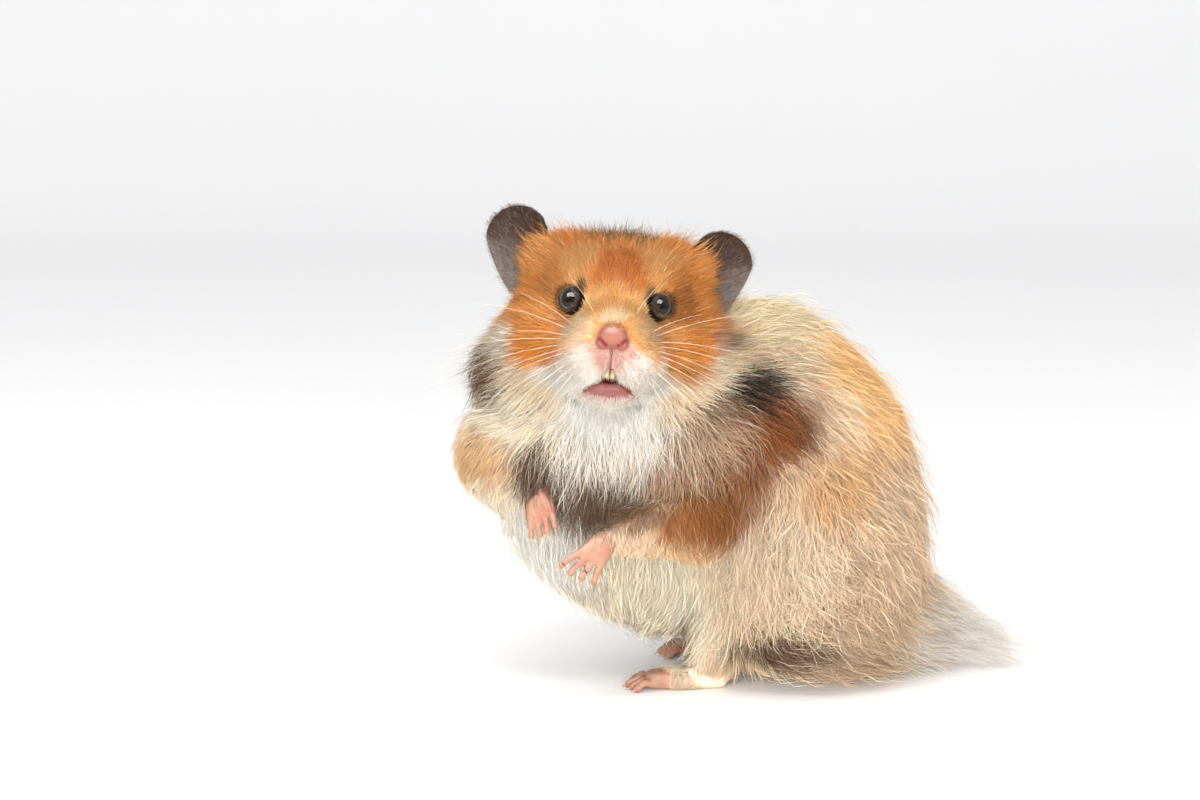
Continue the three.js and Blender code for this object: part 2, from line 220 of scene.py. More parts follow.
def finger(knuckle, reach, sag, thick):
    """Two bones that bend down by sag at the middle joint, and a pad under the tip. Notes where the claw
    grows."""
    tip = knuckle + reach
    middle = knuckle + 0.55 * reach - sag
    ahead = (tip - middle) / np.linalg.norm(tip - middle)
    claw_bases.append((tip + 0.55 * thick * ahead, ahead))
    return [
        bone(knuckle, middle, thick, 0.86 * thick, blend=0.5, depth=0),
        bone(middle, tip, 0.86 * thick, 0.72 * thick, blend=0.4, depth=0),
        bone(tip - 0.3 * ahead + 0.3 * sag, tip + 0.3 * sag, 0.9 * thick, 0.8 * thick, blend=0.5, depth=0),
    ]


def forepaw(wrist, reach, across, fan):
    """Palm bones side by side, with fingers that fan out from their ends."""
    wrist, reach = np.array(wrist, float), np.array(reach, float)
    side = np.array(across, float) / np.linalg.norm(across)
    palm_end = wrist + 0.34 * reach
    palm = [(wrist + side * k * 0.9, palm_end + side * k * 1.7) for k in (-1, 0, 1)]
    parts = [bone(*ends, 1.8, 1.45, blend=1.5, depth=0) for ends in palm]
    for k in (-1.5, -0.5, 0.5, 1.5):
        ray = reach * (0.66 - 0.06 * abs(k)) + side * k * fan
        parts += finger(palm_end + side * k * 1.55, ray, np.array([0, 0.4, -0.2]), 0.72)
    return parts


def hind_foot(heel, ball):
    """Two long sole bones, and toes that spread from the ball of the foot."""
    heel, ball = np.array(heel, float), np.array(ball, float)
    ahead = np.array([ball[0] - heel[0], ball[1] - heel[1], 0])
    ahead /= np.linalg.norm(ahead)
    side = np.array([-ahead[1], ahead[0], 0])
    front = np.array([ball[0], ball[1], 1.7])
    sole = [(heel + side * k * 0.7, front + side * k * 1.7) for k in (-0.8, 0.8)]
    parts = [bone(*ends, 2.4, 1.8, blend=1.5, depth=0) for ends in sole]
    for k in (-2, -1, 0, 1, 2):
        ray = ahead * (5.2 - 0.75 * abs(k)) + side * k * 0.65 + np.array([0, 0, -0.65])
        parts += finger(front + side * k * 1.4 + np.array([0, 0, -0.2]), ray, np.array([0, 0, -0.7]), 0.85)
    return parts


bare_limbs = []  # (centre, reach, parts): worked out only near the centre
for paw in FOREPAW.values():
    bare_limbs.append((np.array(paw["wrist"]) + 0.6 * np.array(paw["reach"]), 9.0, forepaw(**paw)))
for foot in HIND_FOOT.values():
    middle = 0.6 * np.array(foot["ball"]) + 0.4 * np.array(foot["heel"])
    bare_limbs.append((middle, 14.0, hind_foot(**foot)))


def near(p, centre, reach):
    """True for points closer to a centre than reach."""
    away = p - centre
    return (away * away).sum(1) < reach * reach


def with_limbs(level, p):
    """Joins the paws and feet to a level."""
    for centre, reach, parts in bare_limbs:
        close = near(p, centre, reach)
        level[close] = blended(level[close], level_of(parts, p[close], 1), 1.6)
    return level


# ---------- Face ----------
# The bare nose with its two curved nostrils, the groove from the nose to the lip, the tent-shaped mouth
# with the lower lip under it, and the ring of flesh round each eye. All in the head's frame.

FACE_MIDDLE = [0, -17, -5]
FACE_REACH = 21  # how far round its middle the face is worked out
NOSE = [
    mass([0, -22.6, -4.9], [2.6, 2.3, 2.2], blend=1.6, depth=0.1),
    *both([1.75, -22.7, -6.3], [1.35, 1.7, 1.35], blend=1.2, depth=0.1),  # wings of the nostrils
]
NOSTRIL = [[1.25, -24.5, -6.85], [1.75, -24.5, -6.6], [2.5, -23.9, -5.8]]
NOSTRIL_RADII = [0.36, 0.4, 0.2]
PHILTRUM = [[0, -24.6, -7.7], [0, -22.6, -9.4], [0, -20.9, -12.4]]
PHILTRUM_RADII = [0.2, 0.3, 0.4]
MOUTH_HOLLOW = mass([0, -18.6, -13.3], [1.7, 3.6, 0.85], depth=0)
MOUTH_CORNER = [[1.0, -18.8, -13.6], [3.2, -17.8, -14.8], [5.4, -15.6, -16.3]]
MOUTH_RADII = [0.5, 0.42, 0.2]
LOWER_LIP = mass([0, -14.2, -15.8], [5.3, 4.2, 2.6], depth=0)
EYE_AXIS = np.array([0.45, -0.87, 0.15]) / np.linalg.norm([0.45, -0.87, 0.15])
LID_RING = 2.05  # radius of the ring of flesh about the eye's axis, and how far forward it lies
LID_FORWARD = 2.15
LID_FLESH = 0.36  # radius of that ring's section
SOCKET = 2.55  # how near to the middle of the eye the skin comes


def eye_gap(q):
    """Distance to the middle of the nearer eye, in the head's frame."""
    return np.min([np.linalg.norm(q - EYE_AT * [side, 1, 1], axis=1) for side in (-1, 1)], 0)


def lid_gap(q):
    """Distance to the circle that the flesh round the nearer eye follows."""
    gaps = []
    for side in (-1, 1):
        away = q - EYE_AT * [side, 1, 1]
        along = away @ (EYE_AXIS * [side, 1, 1])
        out = np.sqrt(np.maximum((away * away).sum(1) - along**2, 0))
        gaps.append(np.hypot(out - LID_RING, along - LID_FORWARD))
    return np.min(gaps, 0)


def mirrored(points, side):
    """A chain of points on the left side, or its mirror image on the right."""
    return np.array(points, float) * [side, 1, 1]


def groove(level, q, path, radii, soft=0.35):
    """Cuts a round channel along a path of points."""
    for a, b, ra, rb in zip(path[:-1], path[1:], radii[:-1], radii[1:]):
        distance, _, _ = bone(a, b, ra, rb)
        level = -blended(-level, distance(q), soft)
    return level


def with_face(level, p, coat):
    """Joins the nose, lips and lids to a level near the face, then cuts the nostrils, the groove and the
    mouth."""
    close = near(p, from_head(FACE_MIDDLE), FACE_REACH)
    q = to_head(p[close])
    own = blended(level[close], level_of(NOSE, q, coat), 1.2)
    if coat == 0:
        own = np.maximum(blended(own, lid_gap(q) - LID_FLESH, 1.4), SOCKET - eye_gap(q))
        own = blended(own, LOWER_LIP[0](q), 0.8)
        own = -blended(-own, MOUTH_HOLLOW[0](q), 0.4)
        for side in (-1, 1):
            own = groove(own, q, mirrored(NOSTRIL, side), NOSTRIL_RADII, 0.25)
            own = groove(own, q, mirrored(MOUTH_CORNER, side), MOUTH_RADII, 0.3)
        own = groove(own, q, np.array(PHILTRUM), PHILTRUM_RADII, 0.4)
    level[close] = own
    return level


def skin_level(p):
    """Less than zero inside the skin. The floor holds it up flat."""
    level = with_face(with_limbs(flesh(p, 0), p), p, 0)
    return -blended(-level, p[:, 2] - 0.02, 0.3)


def coat_level(p):
    """Less than zero inside the outer form of the coat."""
    return with_face(with_limbs(flesh(p, 1), p), p, 1)


def slope_of(level, p, step=0.05):
    """Gradient of a level by central differences."""
    shifts = step * np.eye(3)
    return np.stack([level(p + s) - level(p - s) for s in shifts], 1) / (2 * step)


def unit(vectors):
    """Vectors brought to a length of 1."""
    return vectors / np.maximum(np.linalg.norm(vectors, axis=1, keepdims=True), 1e-9)


# ---------- Skin ----------
# One seamless skin over head, trunk, limbs and tail. It is found on a grid of points that is fine over
# the face and paws, then every point is moved exactly onto the field.


def spaced(stops):
    """Grid line places: from each stop to the next in even steps of about the size given with it."""
    places = [
        np.linspace(a, b, max(1, round((b - a) / step)), endpoint=False)
        for (a, step), (b, _) in zip(stops[:-1], stops[1:])
    ]
    return np.concatenate(places + [[stops[-1][0]]])


def crossing_net(level, axes):
    """Surface where a level is zero on a grid. Each cell that it passes through gets one point, the mean
    of the places where it crosses the cell's edges, and each crossed edge joins the points of the four
    cells round it."""
    inside = level < 0
    cells, places = [], []
    for axis in range(3):
        low = np.take(inside, range(level.shape[axis] - 1), axis)
        high = np.take(inside, range(1, level.shape[axis]), axis)
        edge = np.argwhere(low != high)
        step = np.eye(3, dtype=int)[axis]
        here, there = level[tuple(edge.T)], level[tuple((edge + step).T)]
        place = np.stack([axes[k][edge[:, k]] for k in range(3)], 1)
        length = axes[axis][edge[:, axis] + 1] - axes[axis][edge[:, axis]]
        place[:, axis] += length * here / (here - there)
        u, v = np.eye(3, dtype=int)[(axis + 1) % 3], np.eye(3, dtype=int)[(axis + 2) % 3]
        round_edge = np.stack([edge, edge - u, edge - u - v, edge - v], 1)
        outward = here < 0
        round_edge[~outward] = round_edge[~outward][:, ::-1]
        cells.append(np.ravel_multi_index(round_edge.reshape(-1, 3).T, level.shape))
        places.append(np.repeat(place, 4, 0))
    cells, places = np.concatenate(cells), np.concatenate(places)
    _, which = np.unique(cells, return_inverse=True)
    count = np.bincount(which)
    points = np.stack([np.bincount(which, places[:, k]) / count for k in range(3)], 1)
    return points, which.reshape(-1, 4)


def settled(points, level, rounds=3, most=0.4):
    """Points moved along the slope until the level is zero."""
    for _ in range(rounds):
        slope = slope_of(level, points)
        move = level(points)[:, None] * slope / np.maximum((slope * slope).sum(1, keepdims=True), 1e-6)
        points = points - np.clip(move, -most, most)
    return points


grid = [
    spaced([(-30, 1.4), (-16, 0.45), (18, 0.7), (34, 1.5), (82, 0)]),
    spaced([(-29, 0.45), (-6, 0.9), (34, 1.5), (45, 0)]),
    spaced([(-1, 0.5), (7, 1.3), (26, 0.55), (43, 1.1), (58, 0.42), (88, 0.9), (96, 0)]),
]
nodes = np.stack(np.meshgrid(*grid, indexing="ij"), -1).reshape(-1, 3)
levels = skin_level(nodes.astype(np.float32)).reshape([len(axis) for axis in grid])
skin_points, skin_faces = crossing_net(levels, grid)
skin_points = settled(skin_points, skin_level)
skin_points[:, 2] = np.maximum(skin_points[:, 2], 0.0)
del nodes, levels

# ---------- Markings ----------
# Golden with a white muzzle, bib and belly, and darker bands on cheeks, chest and shoulder, as the breed
# has them; the band under the bib is partly painted shade, and the dark band low along the skirt is
# painted shade. Each marking is a soft-edged ellipsoid of one coat colour, painted over those before it.
# Skin and coat both read them.


def tint(red, green, blue):
    """Linear colour of an sRGB one given in 0 to 255."""
    value = np.array([red, green, blue]) / 255
    return np.where(value <= 0.04045, value / 12.92, ((value + 0.055) / 1.055) ** 2.4)


GOLD = tint(246, 184, 106)
AMBER = tint(252, 208, 136)
RUST = tint(228, 146, 58)
ORANGE = tint(244, 176, 84)
CHESTNUT = tint(170, 98, 42)
HONEY = tint(254, 224, 172)
STRAW = tint(255, 238, 210)
FAWN = tint(248, 228, 200)
CREAM = tint(253, 242, 224)
SABLE = tint(136, 94, 58)
SOOT = tint(40, 27, 19)
SMOKE = tint(214, 189, 161)
SILVER = tint(213, 180, 150)
MILK = tint(250, 243, 232)
PEARL = tint(253, 250, 244)
WHEAT = tint(234, 200, 150)
ASH = tint(228, 218, 208)
TAWNY = tint(178, 112, 46)
DUN = tint(128, 94, 66)
UMBER = tint(112, 76, 46)
BLUSH = tint(226, 172, 156)
BUFF = tint(243, 228, 206)

HEAD_BASE = GOLD
HEAD_MARKS = [  # centre, radii, colour, strength, in the head's frame
    ([0, 6, 15], [17, 14, 7], ORANGE, 0.75),  # crown
    ([0.5, -1, 17.4], [8, 9, 3.4], SABLE, 0.75),
    ([-8.2, -9.5, 10.4], [4.4, 6, 5.2], AMBER, 0.75),  # paler either side of the forehead
    ([8.4, -8.8, 11.0], [4.6, 6, 5.6], AMBER, 0.6),
    ([-15.5, -6, 4], [6.5, 9, 6.5], ORANGE, 0.8),  # temples
    ([14.5, -7, 4.5], [6.5, 9, 6.5], ORANGE, 0.8),
    ([-13.4, -11, 4.4], [3.6, 5, 3], CHESTNUT, 0.45),
    ([13.4, -11, 3], [3.6, 5, 4.4], CHESTNUT, 0.6),
    ([0.6, -14, 6.8], [5.2, 8, 7.4], RUST, 0.9),  # middle of the forehead
    ([0, -16, 1.8], [4.4, 5, 4.2], AMBER, 0.6),
    ([-4.6, -17.6, -0.6], [4.2, 4.6, 4.4], AMBER, 0.9),  # beside the bridge
    ([4.6, -17.2, 0], [4.2, 4.6, 4.4], AMBER, 0.9),
    ([-7.0, -17.8, -3.4], [4.4, 5, 3], FAWN, 0.75),
    ([7.4, -17.4, -2.8], [4.4, 5, 3], WHEAT, 0.95),
    ([-7.5, -15, 3.6], [1.4, 3.4, 2.3], SOOT, 0.8),  # dark marks over the inner corners of the eyes
    ([7.1, -15, 3.2], [1.4, 3.4, 2.3], SOOT, 0.8),
    ([0, -8, -21], [27, 20, 11.5], PEARL, 1.0),  # throat and rims of the cheeks
    ([-22.4, -5, -11], [5.6, 10, 7.5], MILK, 0.95),
    ([21.8, -6, -12], [5.0, 10, 7], MILK, 0.95),
    ([0, -18, -14.4], [12.2, 10, 8.6], MILK, 1.0),  # muzzle and chin
    ([-8.2, -19, -6.6], [3.6, 5, 2], FAWN, 0.7),
    ([8.2, -18.6, -6.4], [3.6, 5, 2], WHEAT, 0.6),
    ([-15.8, -11, -6.6], [4.5, 8, 6.0], ORANGE, 1.0),  # cheeks
    ([15.6, -11.5, -8.4], [4.4, 8, 5.8], ORANGE, 1.0),
    ([-16.4, -10, -10], [4, 7, 2.2], RUST, 0.15),
    ([15.8, -11, -11.5], [3.4, 7, 2.4], CHESTNUT, 0.45),
    ([24, -4, -5], [3.4, 9, 9], SILVER, 0.9),
    ([0, -20.4, -1.2], [2.4, 3, 3.2], STRAW, 0.75),  # pale spot over the nose
    ([-6.4, -20, -9.6], [3.6, 5, 3.2], ASH, 0.55),  # whisker pads
    ([5.6, -20, -11.4], [3.8, 5, 3.6], ASH, 0.55),
    ([0, -21.8, -8.6], [4.6, 4, 3.6], BLUSH, 0.75),  # skin shows through by the nose
]
BODY_BASE = FAWN
BODY_MARKS = [  # the same in the body frame
    ([45, 14, 74], [25, 36, 24], STRAW, 1.0),  # back
    ([8, 22, 80], [17, 12, 8], AMBER, 0.75),  # nape
    ([54, 10, 69], [9, 26, 9], AMBER, 0.75),
    ([40, 12, 79], [11, 22, 6], STRAW, 0.8),
    ([60, 8, 56], [7, 28, 9], AMBER, 0.65),
    ([48, -9.5, 57.5], [7, 9, 5], FAWN, 0.8),
    ([48.5, -12, 44], [8, 9, 8], WHEAT, 0.8),  # flank
    ([54.6, -9.9, 47.8], [5, 6, 5], AMBER, 0.3),
    ([57.2, -8, 48], [3, 4, 2.4], SMOKE, 0.6),
    ([64, 8, 34], [12, 30, 18], SMOKE, 0.3),  # rump
    ([80, 16, 8], [14, 22, 9], ASH, 0.85),  # tail
    ([34, -16, 27], [15, 12, 13], BUFF, 0.9),  # thigh
    ([52.6, -15.5, 25.5], [2.0, 6, 9], SABLE, 0.35),
    ([56, -8, 14], [16, 10, 8], SMOKE, 0.5),
    # dark band low under the thigh and, paler, along the skirt behind it: painted shade where the long hair
    # hangs over the floor
    ([37, -9, 7.4], [12, 9, 4.8], UMBER, 0.95),  # skirt in front of the heel
    ([52, -8, 4.4], [13, 12, 4.2], SMOKE, 0.9),
    ([17, -3.4, 13], [8, 9, 10], CREAM, 1.0),  # shins
    ([18, 30, 13], [9, 9, 10], CREAM, 1.0),
    ([2, 4, 22], [25, 24, 15], CREAM, 1.0),  # belly
    ([-14, -2, 27], [13, 16, 12], PEARL, 0.8),
    ([20, -20, 37.5], [9.4, 10, 8], TAWNY, 0.95),  # left arm and side
    ([17, -18, 31], [7, 7, 3.4], HONEY, 0.6),
    ([27.5, -18, 43.5], [7.5, 8, 7], TAWNY, 0.8),
    ([32, -18, 50], [6, 8, 6], CHESTNUT, 0.8),
    ([37, -15.2, 55.4], [7.2, 8, 6.2], CHESTNUT, 1.0),
    ([20, 44, 42], [13, 12, 13], TAWNY, 0.9),  # the same on the right side
    ([30, 42, 53], [9, 10, 9], CHESTNUT, 0.8),
    # darker fur under the bib, deepened to a painted shade under the bib and the forepaws
    ([-1, -13, 39], [11, 11, 6.2], DUN, 0.9),  # band under the bib
    ([8, -20, 41], [5, 6, 4.4], SABLE, 0.85),
    ([20, -19, 54], [10, 10, 7], SMOKE, 0.95),  # left side of the breast
    ([27, -18, 56], [5, 6, 4.4], SILVER, 0.8),
    ([32.6, -12.5, 65], [7.2, 9, 5.8], SOOT, 1.0),  # dark shoulder patch
    ([26, -17, 61], [5.5, 7, 3.8], SABLE, 0.9),
    ([42, -12.5, 57], [4, 6, 3], UMBER, 0.8),
    ([39, -12.5, 60.5], [5, 6, 3.6], CHESTNUT, 0.8),
    ([32, 42, 62], [7, 9, 6], UMBER, 0.8),
    ([30.5, -7.8, 71.2], [4.6, 6, 2.4], SILVER, 0.95),  # silver sweep round it
    ([37, -6, 70.7], [5, 6, 2.4], SILVER, 0.95),
    ([43, -7, 66.8], [4, 6, 3.6], SILVER, 0.95),
    ([45.8, -9.5, 61.6], [3.4, 6, 4], SILVER, 0.9),
    ([27.4, -2.9, 75.2], [5, 6, 1.5], ORANGE, 0.8),
    ([28, -5.3, 73], [4, 6, 1.2], SABLE, 0.7),
    ([2, -16, 55], [14, 12, 10.5], MILK, 1.0),  # bib
    ([1, -18, 59], [11, 12, 6], PEARL, 0.9),
    ([-7, -14.6, 46], [3.4, 8, 5], MILK, 1.0),
    ([4, -15.8, 47.4], [2.8, 8, 4], MILK, 1.0),
    ([11.9, -17.8, 47.6], [4.4, 8, 3.8], SILVER, 1.0),
    ([-19.5, -10, 60.5], [5, 6, 5], MILK, 0.9),
    ([-20, -6, 57], [11, 14, 7], CREAM, 1.0),  # right side of the ruff
    ([-22, 10, 66], [12, 14, 12], CREAM, 0.9),
    ([-25.4, -4, 66.5], [5.4, 10, 7], SABLE, 1.0),
    ([-25.4, -3, 65.5], [2.8, 8, 4], SOOT, 0.35),
    ([-24.5, -6, 48], [6, 12, 7], WHEAT, 0.95),  # right elbow
    ([-22, -5, 41], [8, 10, 2.6], CREAM, 0.95),
    ([-13, -13, 45.6], [5.2, 8, 6.6], UMBER, 0.9),
]


def soft_step(value, low, high):
    """0 up to low, 1 from high, and the cubic 3s^2 - 2s^3 between."""
    share = np.clip((value - low) / (high - low), 0, 1)
    return share * share * (3 - 2 * share)


def ripple(p, size, seed):
    """Smooth noise between about -1 and 1: a sum of six plane waves of about one wavelength and random
    heading."""
    draw = np.random.default_rng(seed)
    waves = draw.normal(size=(6, 3))
    waves *= (2 * np.pi / size) * draw.uniform(0.6, 1.5, (6, 1)) / np.linalg.norm(
        waves, axis=1, keepdims=True
    )
    return np.sin(p @ waves.T + draw.uniform(0, 2 * np.pi, 6)).sum(1) / 3


def painted(base, marks, p):
    """Colours at points: each marking covers what is under it near its centre, with a soft edge that is a
    cubic at full strength and even below it."""
    colour = np.tile(base, (len(p), 1))
    for centre, radii, shade, strength in marks:
        reach = np.sqrt((((p - centre) / radii) ** 2).sum(1))
        cover = strength * np.clip((1.18 - reach) / 0.36, 0, 1)
        colour += (cover * cover * (3 - 2 * cover) if strength == 1 else cover)[:, None] * (shade - colour)
    return colour


def head_lead(p):
    """How many millimetres nearer a point is to the form of the head than to that of the body."""
    return level_of(TRUNK + ARMS, p, 1) - level_of(HEAD, to_head(p), 1)


def markings(p):
    """Coat colour at points of the body frame: the head's and the body's paintings, mixed by which of the
    two forms is nearer, over a broader band behind the head than in front."""
    ragged = p + np.stack([ripple(p, 5, seed) for seed in (1, 2, 3)], 1) * 0.7
    q = to_head(ragged)
    head = painted(HEAD_BASE, HEAD_MARKS, q)
    body = painted(BODY_BASE, BODY_MARKS, ragged)
    share = np.clip(0.5 + head_lead(p) / (3 + 5 * soft_step(q[:, 1], 2, 10)), 0, 1)[:, None]
    return body + share * (head - body)


# ---------- Ears ----------
# A thin cupped leaf of dark skin, hollow to the front, round at the tip and narrow at the notch, with a
# rolled rim.

SIDES = {"left": 1, "right": -1}  # the sign of x on each side, in the head's frame
EAR = {"at": [20.9, 5, 13.4], "rise": 6, "drop": 12.4, "wide": 7.2, "cup": 3.2, "thick": 0.8}
EAR_FOLDS = [(0.35, -2.6, 1.1), (0.25, 0.6, 0.9)]  # height, place across and width of each upright fold
EAR_LEAN = 6  # degrees
EAR_OUTWARD = 30
EAR_DROOP = 1.1  # how much lower the left ear is held, and higher the right
ear_turn = turned(z=EAR_OUTWARD) @ turned(y=EAR_LEAN)


def ear_point(share, angle, face, side):
    """Place on an ear: share of the way from its middle to the rim, angle round it, and face -1 front or
    1 back. The leaf bows back by cup x (1 - share squared), with two soft upright folds near its inner
    edge."""
    up = np.sin(angle)
    length = np.where(up > 0, EAR["rise"], EAR["drop"])
    narrowing = np.where(up > 0, 1, 1 + 0.42 * up)
    across = EAR["wide"] * share * np.cos(angle) * narrowing
    height = length * share * up
    folds = sum(high * np.exp(-(((across - at) / wide) ** 2)) for high, at, wide in EAR_FOLDS)
    folds *= np.clip(-height / 4, 0, 1) * (1 - share**4)
    roll = -0.35 * np.clip((share - 0.86) / 0.14, 0, 1) ** 2
    thickness = EAR["thick"] / 2 * np.sqrt(np.maximum(1 - share**8, 0))
    depth = EAR["cup"] * (1 - share**2) - folds + roll + face * thickness
    p = np.stack([across, depth, height], -1) @ ear_turn.T + EAR["at"]
    p = p * [side, 1, 1] - np.array([0, 0, side * EAR_DROOP])
    return p @ HEAD_TURN.T + HEAD_AT


def triangles(quads):
    """Each four-sided face cut along one diagonal."""
    return np.concatenate([quads[:, [0, 1, 2]], quads[:, [0, 2, 3]]])


def ring_faces(rings, around):
    """Triangles of a closed bar whose points are a first end, rings of points in order, and a last end."""
    side = np.arange(around)
    following = (side + 1) % around
    faces = [np.stack([np.zeros(around, int), 1 + following, 1 + side], 1)]
    for ring in range(rings - 1):
        low, high = 1 + ring * around, 1 + (ring + 1) * around
        faces.append(triangles(np.stack([low + side, low + following, high + following, high + side], 1)))
    last = 1 + (rings - 1) * around
    faces.append(np.stack([last + side, last + following, np.full(around, 1 + rings * around)], 1))
    return np.concatenate(faces)


def closed_rows(rows, flip=False):
    """Triangles over a stack of closed rings whose first and last rings are drawn together into single
    points."""
    count, around, _ = rows.shape
    points = np.concatenate([rows[:1].mean(1), rows[1:-1].reshape(-1, 3), rows[-1:].mean(1)])
    faces = ring_faces(count - 2, around)
    return points, faces[:, ::-1] if flip else faces


ear_share = np.sin(np.linspace(0, np.pi / 2, 22))
ear_angle = np.linspace(0, 2 * np.pi, 96, endpoint=False)
ear_meshes = []
for side in SIDES.values():
    front = ear_point(ear_share[:, None], ear_angle, -1, side)
    back = ear_point(ear_share[::-1, None], ear_angle, 1, side)
    ear_meshes.append(closed_rows(np.concatenate([front, back[1:]]), flip=side > 0))

# ---------- Eyelids ----------
# A thin dark rim of moist skin that lies on the eyeball all round the opening, a little narrower across
# than along. It is a tube swept round the eye's axis, and it becomes part of the skin's mesh.

LID_EDGE = 1.8  # radius of the opening
LID_NARROWING = 0.07
LID_CLEAR = 0.06  # how far off the eyeball the middle of the rim lies
LID_WIDTH = 0.3  # half the width and half the height of its section
LID_HEIGHT = 0.18


def lid_rim(side, around=72, section=12):
    """Ring tube on a sphere just larger than the eyeball: edge x (1 - narrowing x cos(2 x angle)) from
    the axis."""
    axis = EYE_AXIS * [side, 1, 1]
    first = np.cross(axis, [0, 0, 1])
    first /= np.linalg.norm(first)
    second = np.cross(axis, first)
    turn = np.linspace(0, 2 * np.pi, around, endpoint=False)[:, None]
    bend = np.linspace(0, 2 * np.pi, section, endpoint=False)
    radius = LID_EDGE * (1 - LID_NARROWING * np.cos(2 * turn + side * 0.6))
    along = np.sqrt((EYE_RADIUS + LID_CLEAR) ** 2 - radius**2)
    out = radius + LID_WIDTH * np.cos(bend)
    forward = along + LID_HEIGHT * np.sin(bend)
    rim = out[..., None] * (np.cos(turn)[..., None] * first + np.sin(turn)[..., None] * second)
    rim = rim + forward[..., None] * axis + EYE_AT * [side, 1, 1]
    ids = np.arange(around * section).reshape(around, section)
    right, up = np.roll(ids, -1, 0), np.roll(ids, -1, 1)
    quads = np.stack([ids, right, np.roll(right, -1, 1), up], -1).reshape(-1, 4)
    return from_head(rim.reshape(-1, 3)), triangles(quads)


lid_meshes = [lid_rim(side) for side in SIDES.values()]

# ---------- Skin piece ----------
# Warm bare skin on the nose, lips, lids, paws and feet, and under the fur the colour of the roots of the
# coat. The ears and the rims of the lids are part of the same mesh.

MUCOSA = tint(96, 28, 26)
LIP = tint(118, 70, 66)
NOSE_PINK = tint(142, 90, 76)
NOSTRIL_RED = tint(112, 28, 34)
PHILTRUM_PINK = tint(116, 62, 66)
PAW_PINK = tint(156, 118, 96)
PAW_ROSE = tint(158, 104, 88)
EAR_DARK = tint(56, 39, 30)
# painted shade deep in the ear's cup, towards its base
EAR_DEEP_SHADE = tint(40, 26, 20)
LID_DARK = tint(34, 26, 22)


def limb_share(p):
    """1 on the bare paws and feet, falling to 0 a short way up the limb."""
    share = np.zeros(len(p))
    for centre, reach, parts in bare_limbs:
        close = near(p, centre, reach)
        share[close] = np.maximum(share[close], 1 - soft_step(level_of(parts, p[close], 1), 0.25, 1.2))
    return share


def heel_share(p):
    """1 on the back half of each hind foot, where the coat of the leg hangs over it."""
    share = np.zeros(len(p))
    for foot in HIND_FOOT.values():
        heel, ball = np.array(foot["heel"]), np.array(foot["ball"])
        share = np.maximum(share, near(p, heel, 16) * soft_step(p[:, 0] - ball[0], 2, 7))
    return share


def nose_share(q, edge=0.45):
    """1 on the bare nose, falling to 0 at its edge, in the head's frame."""
    return 1 - soft_step(level_of(NOSE, q, 1), 0.0, edge)


def nostril_share(q):
    """1 in the nostrils, falling to 0 at their rims."""
    return 1 - soft_step(line_gap(q, NOSTRIL), 0.26, 0.52)


def line_gap(q, path):
    """Distance seen from the front to a chain of points and its mirror image."""
    flat = np.stack([np.abs(q[:, 0]), 0 * q[:, 0], q[:, 2]], 1)
    path = np.array(path) * [1, 0, 1]
    return np.min([bone(a, b, 0, 0)[0](flat) for a, b in zip(path[:-1], path[1:])], 0)


def mouth_share(q):
    """1 inside the mouth and along the line of the lips, falling to 0 on their edges."""
    hollow = 1 - soft_step(MOUTH_HOLLOW[0](q), 0.05, 0.5)
    line = 1 - soft_step(line_gap(q, MOUTH_CORNER), 0.15, 0.6)
    return np.maximum(hollow, 0.9 * line * (q[:, 1] < -13))


def lip_share(q):
    """1 on the thin-haired lower lip: below the line of the mouth, above an arc from corner to corner,
    all ragged."""
    x, z = q[:, 0], q[:, 2]
    rough = 0.5 * ripple(q, 1.4, 8)
    top = soft_step(-12.9 - 0.55 * np.abs(x) - z + rough, -0.4, 0.4)
    low = soft_step(z - (-18.2 + 0.05 * x * x) + rough, -1.8, 1.6)
    return top * low * soft_step(5.9 - np.abs(x) + rough, 0, 1.4) * (q[:, 1] < -11)


def philtrum_share(q):
    """1 along the groove from the nose to the mouth."""
    return (1 - soft_step(line_gap(q, PHILTRUM), 0.2, 0.65)) * (q[:, 1] < -18)


def lid_share(q):
    """1 on the ring of flesh round each eye."""
    return 1 - soft_step(lid_gap(q), 0.4, 0.7)


def skin_tone(p):
    """Skin colour: the coat's markings, darker as hair roots are, and pink, dark or red where it is
    bare."""
    q = to_head(p)
    tone = markings(p) * 0.85
    bare = limb_share(p) * (1 - 0.85 * heel_share(p))
    for share, colour in (
        (lip_share(q), LIP),
        (bare, PAW_PINK),
        (bare * soft_step(ripple(p, 3.2, 4), -0.1, 0.8), PAW_ROSE),
        (nose_share(q, 1.4), NOSE_PINK),
        (philtrum_share(q), PHILTRUM_PINK),
        (nostril_share(q), NOSTRIL_RED),
        (mouth_share(q), MUCOSA),
        (lid_share(q), LID_DARK),
    ):
        tone += share[:, None] * (colour - tone)
    return tone


# Each ear is painted darker towards its base: painted shade deep in its cup.
ear_tones = []
for points, _ in ear_meshes:
    q = to_head(points)
    depth = soft_step(q[:, 2], 13, 2)[:, None]
    ear_tones.append(EAR_DARK + depth * (EAR_DEEP_SHADE - EAR_DARK))

skin_parts = [(skin_points, triangles(skin_faces), skin_tone(skin_points))]
skin_parts += [(*mesh, tone) for mesh, tone in zip(ear_meshes, ear_tones)]
skin_parts += [(points, faces, np.tile(LID_DARK, (len(points), 1))) for points, faces in lid_meshes]
starts = np.cumsum([0] + [len(points) for points, _, _ in skin_parts])


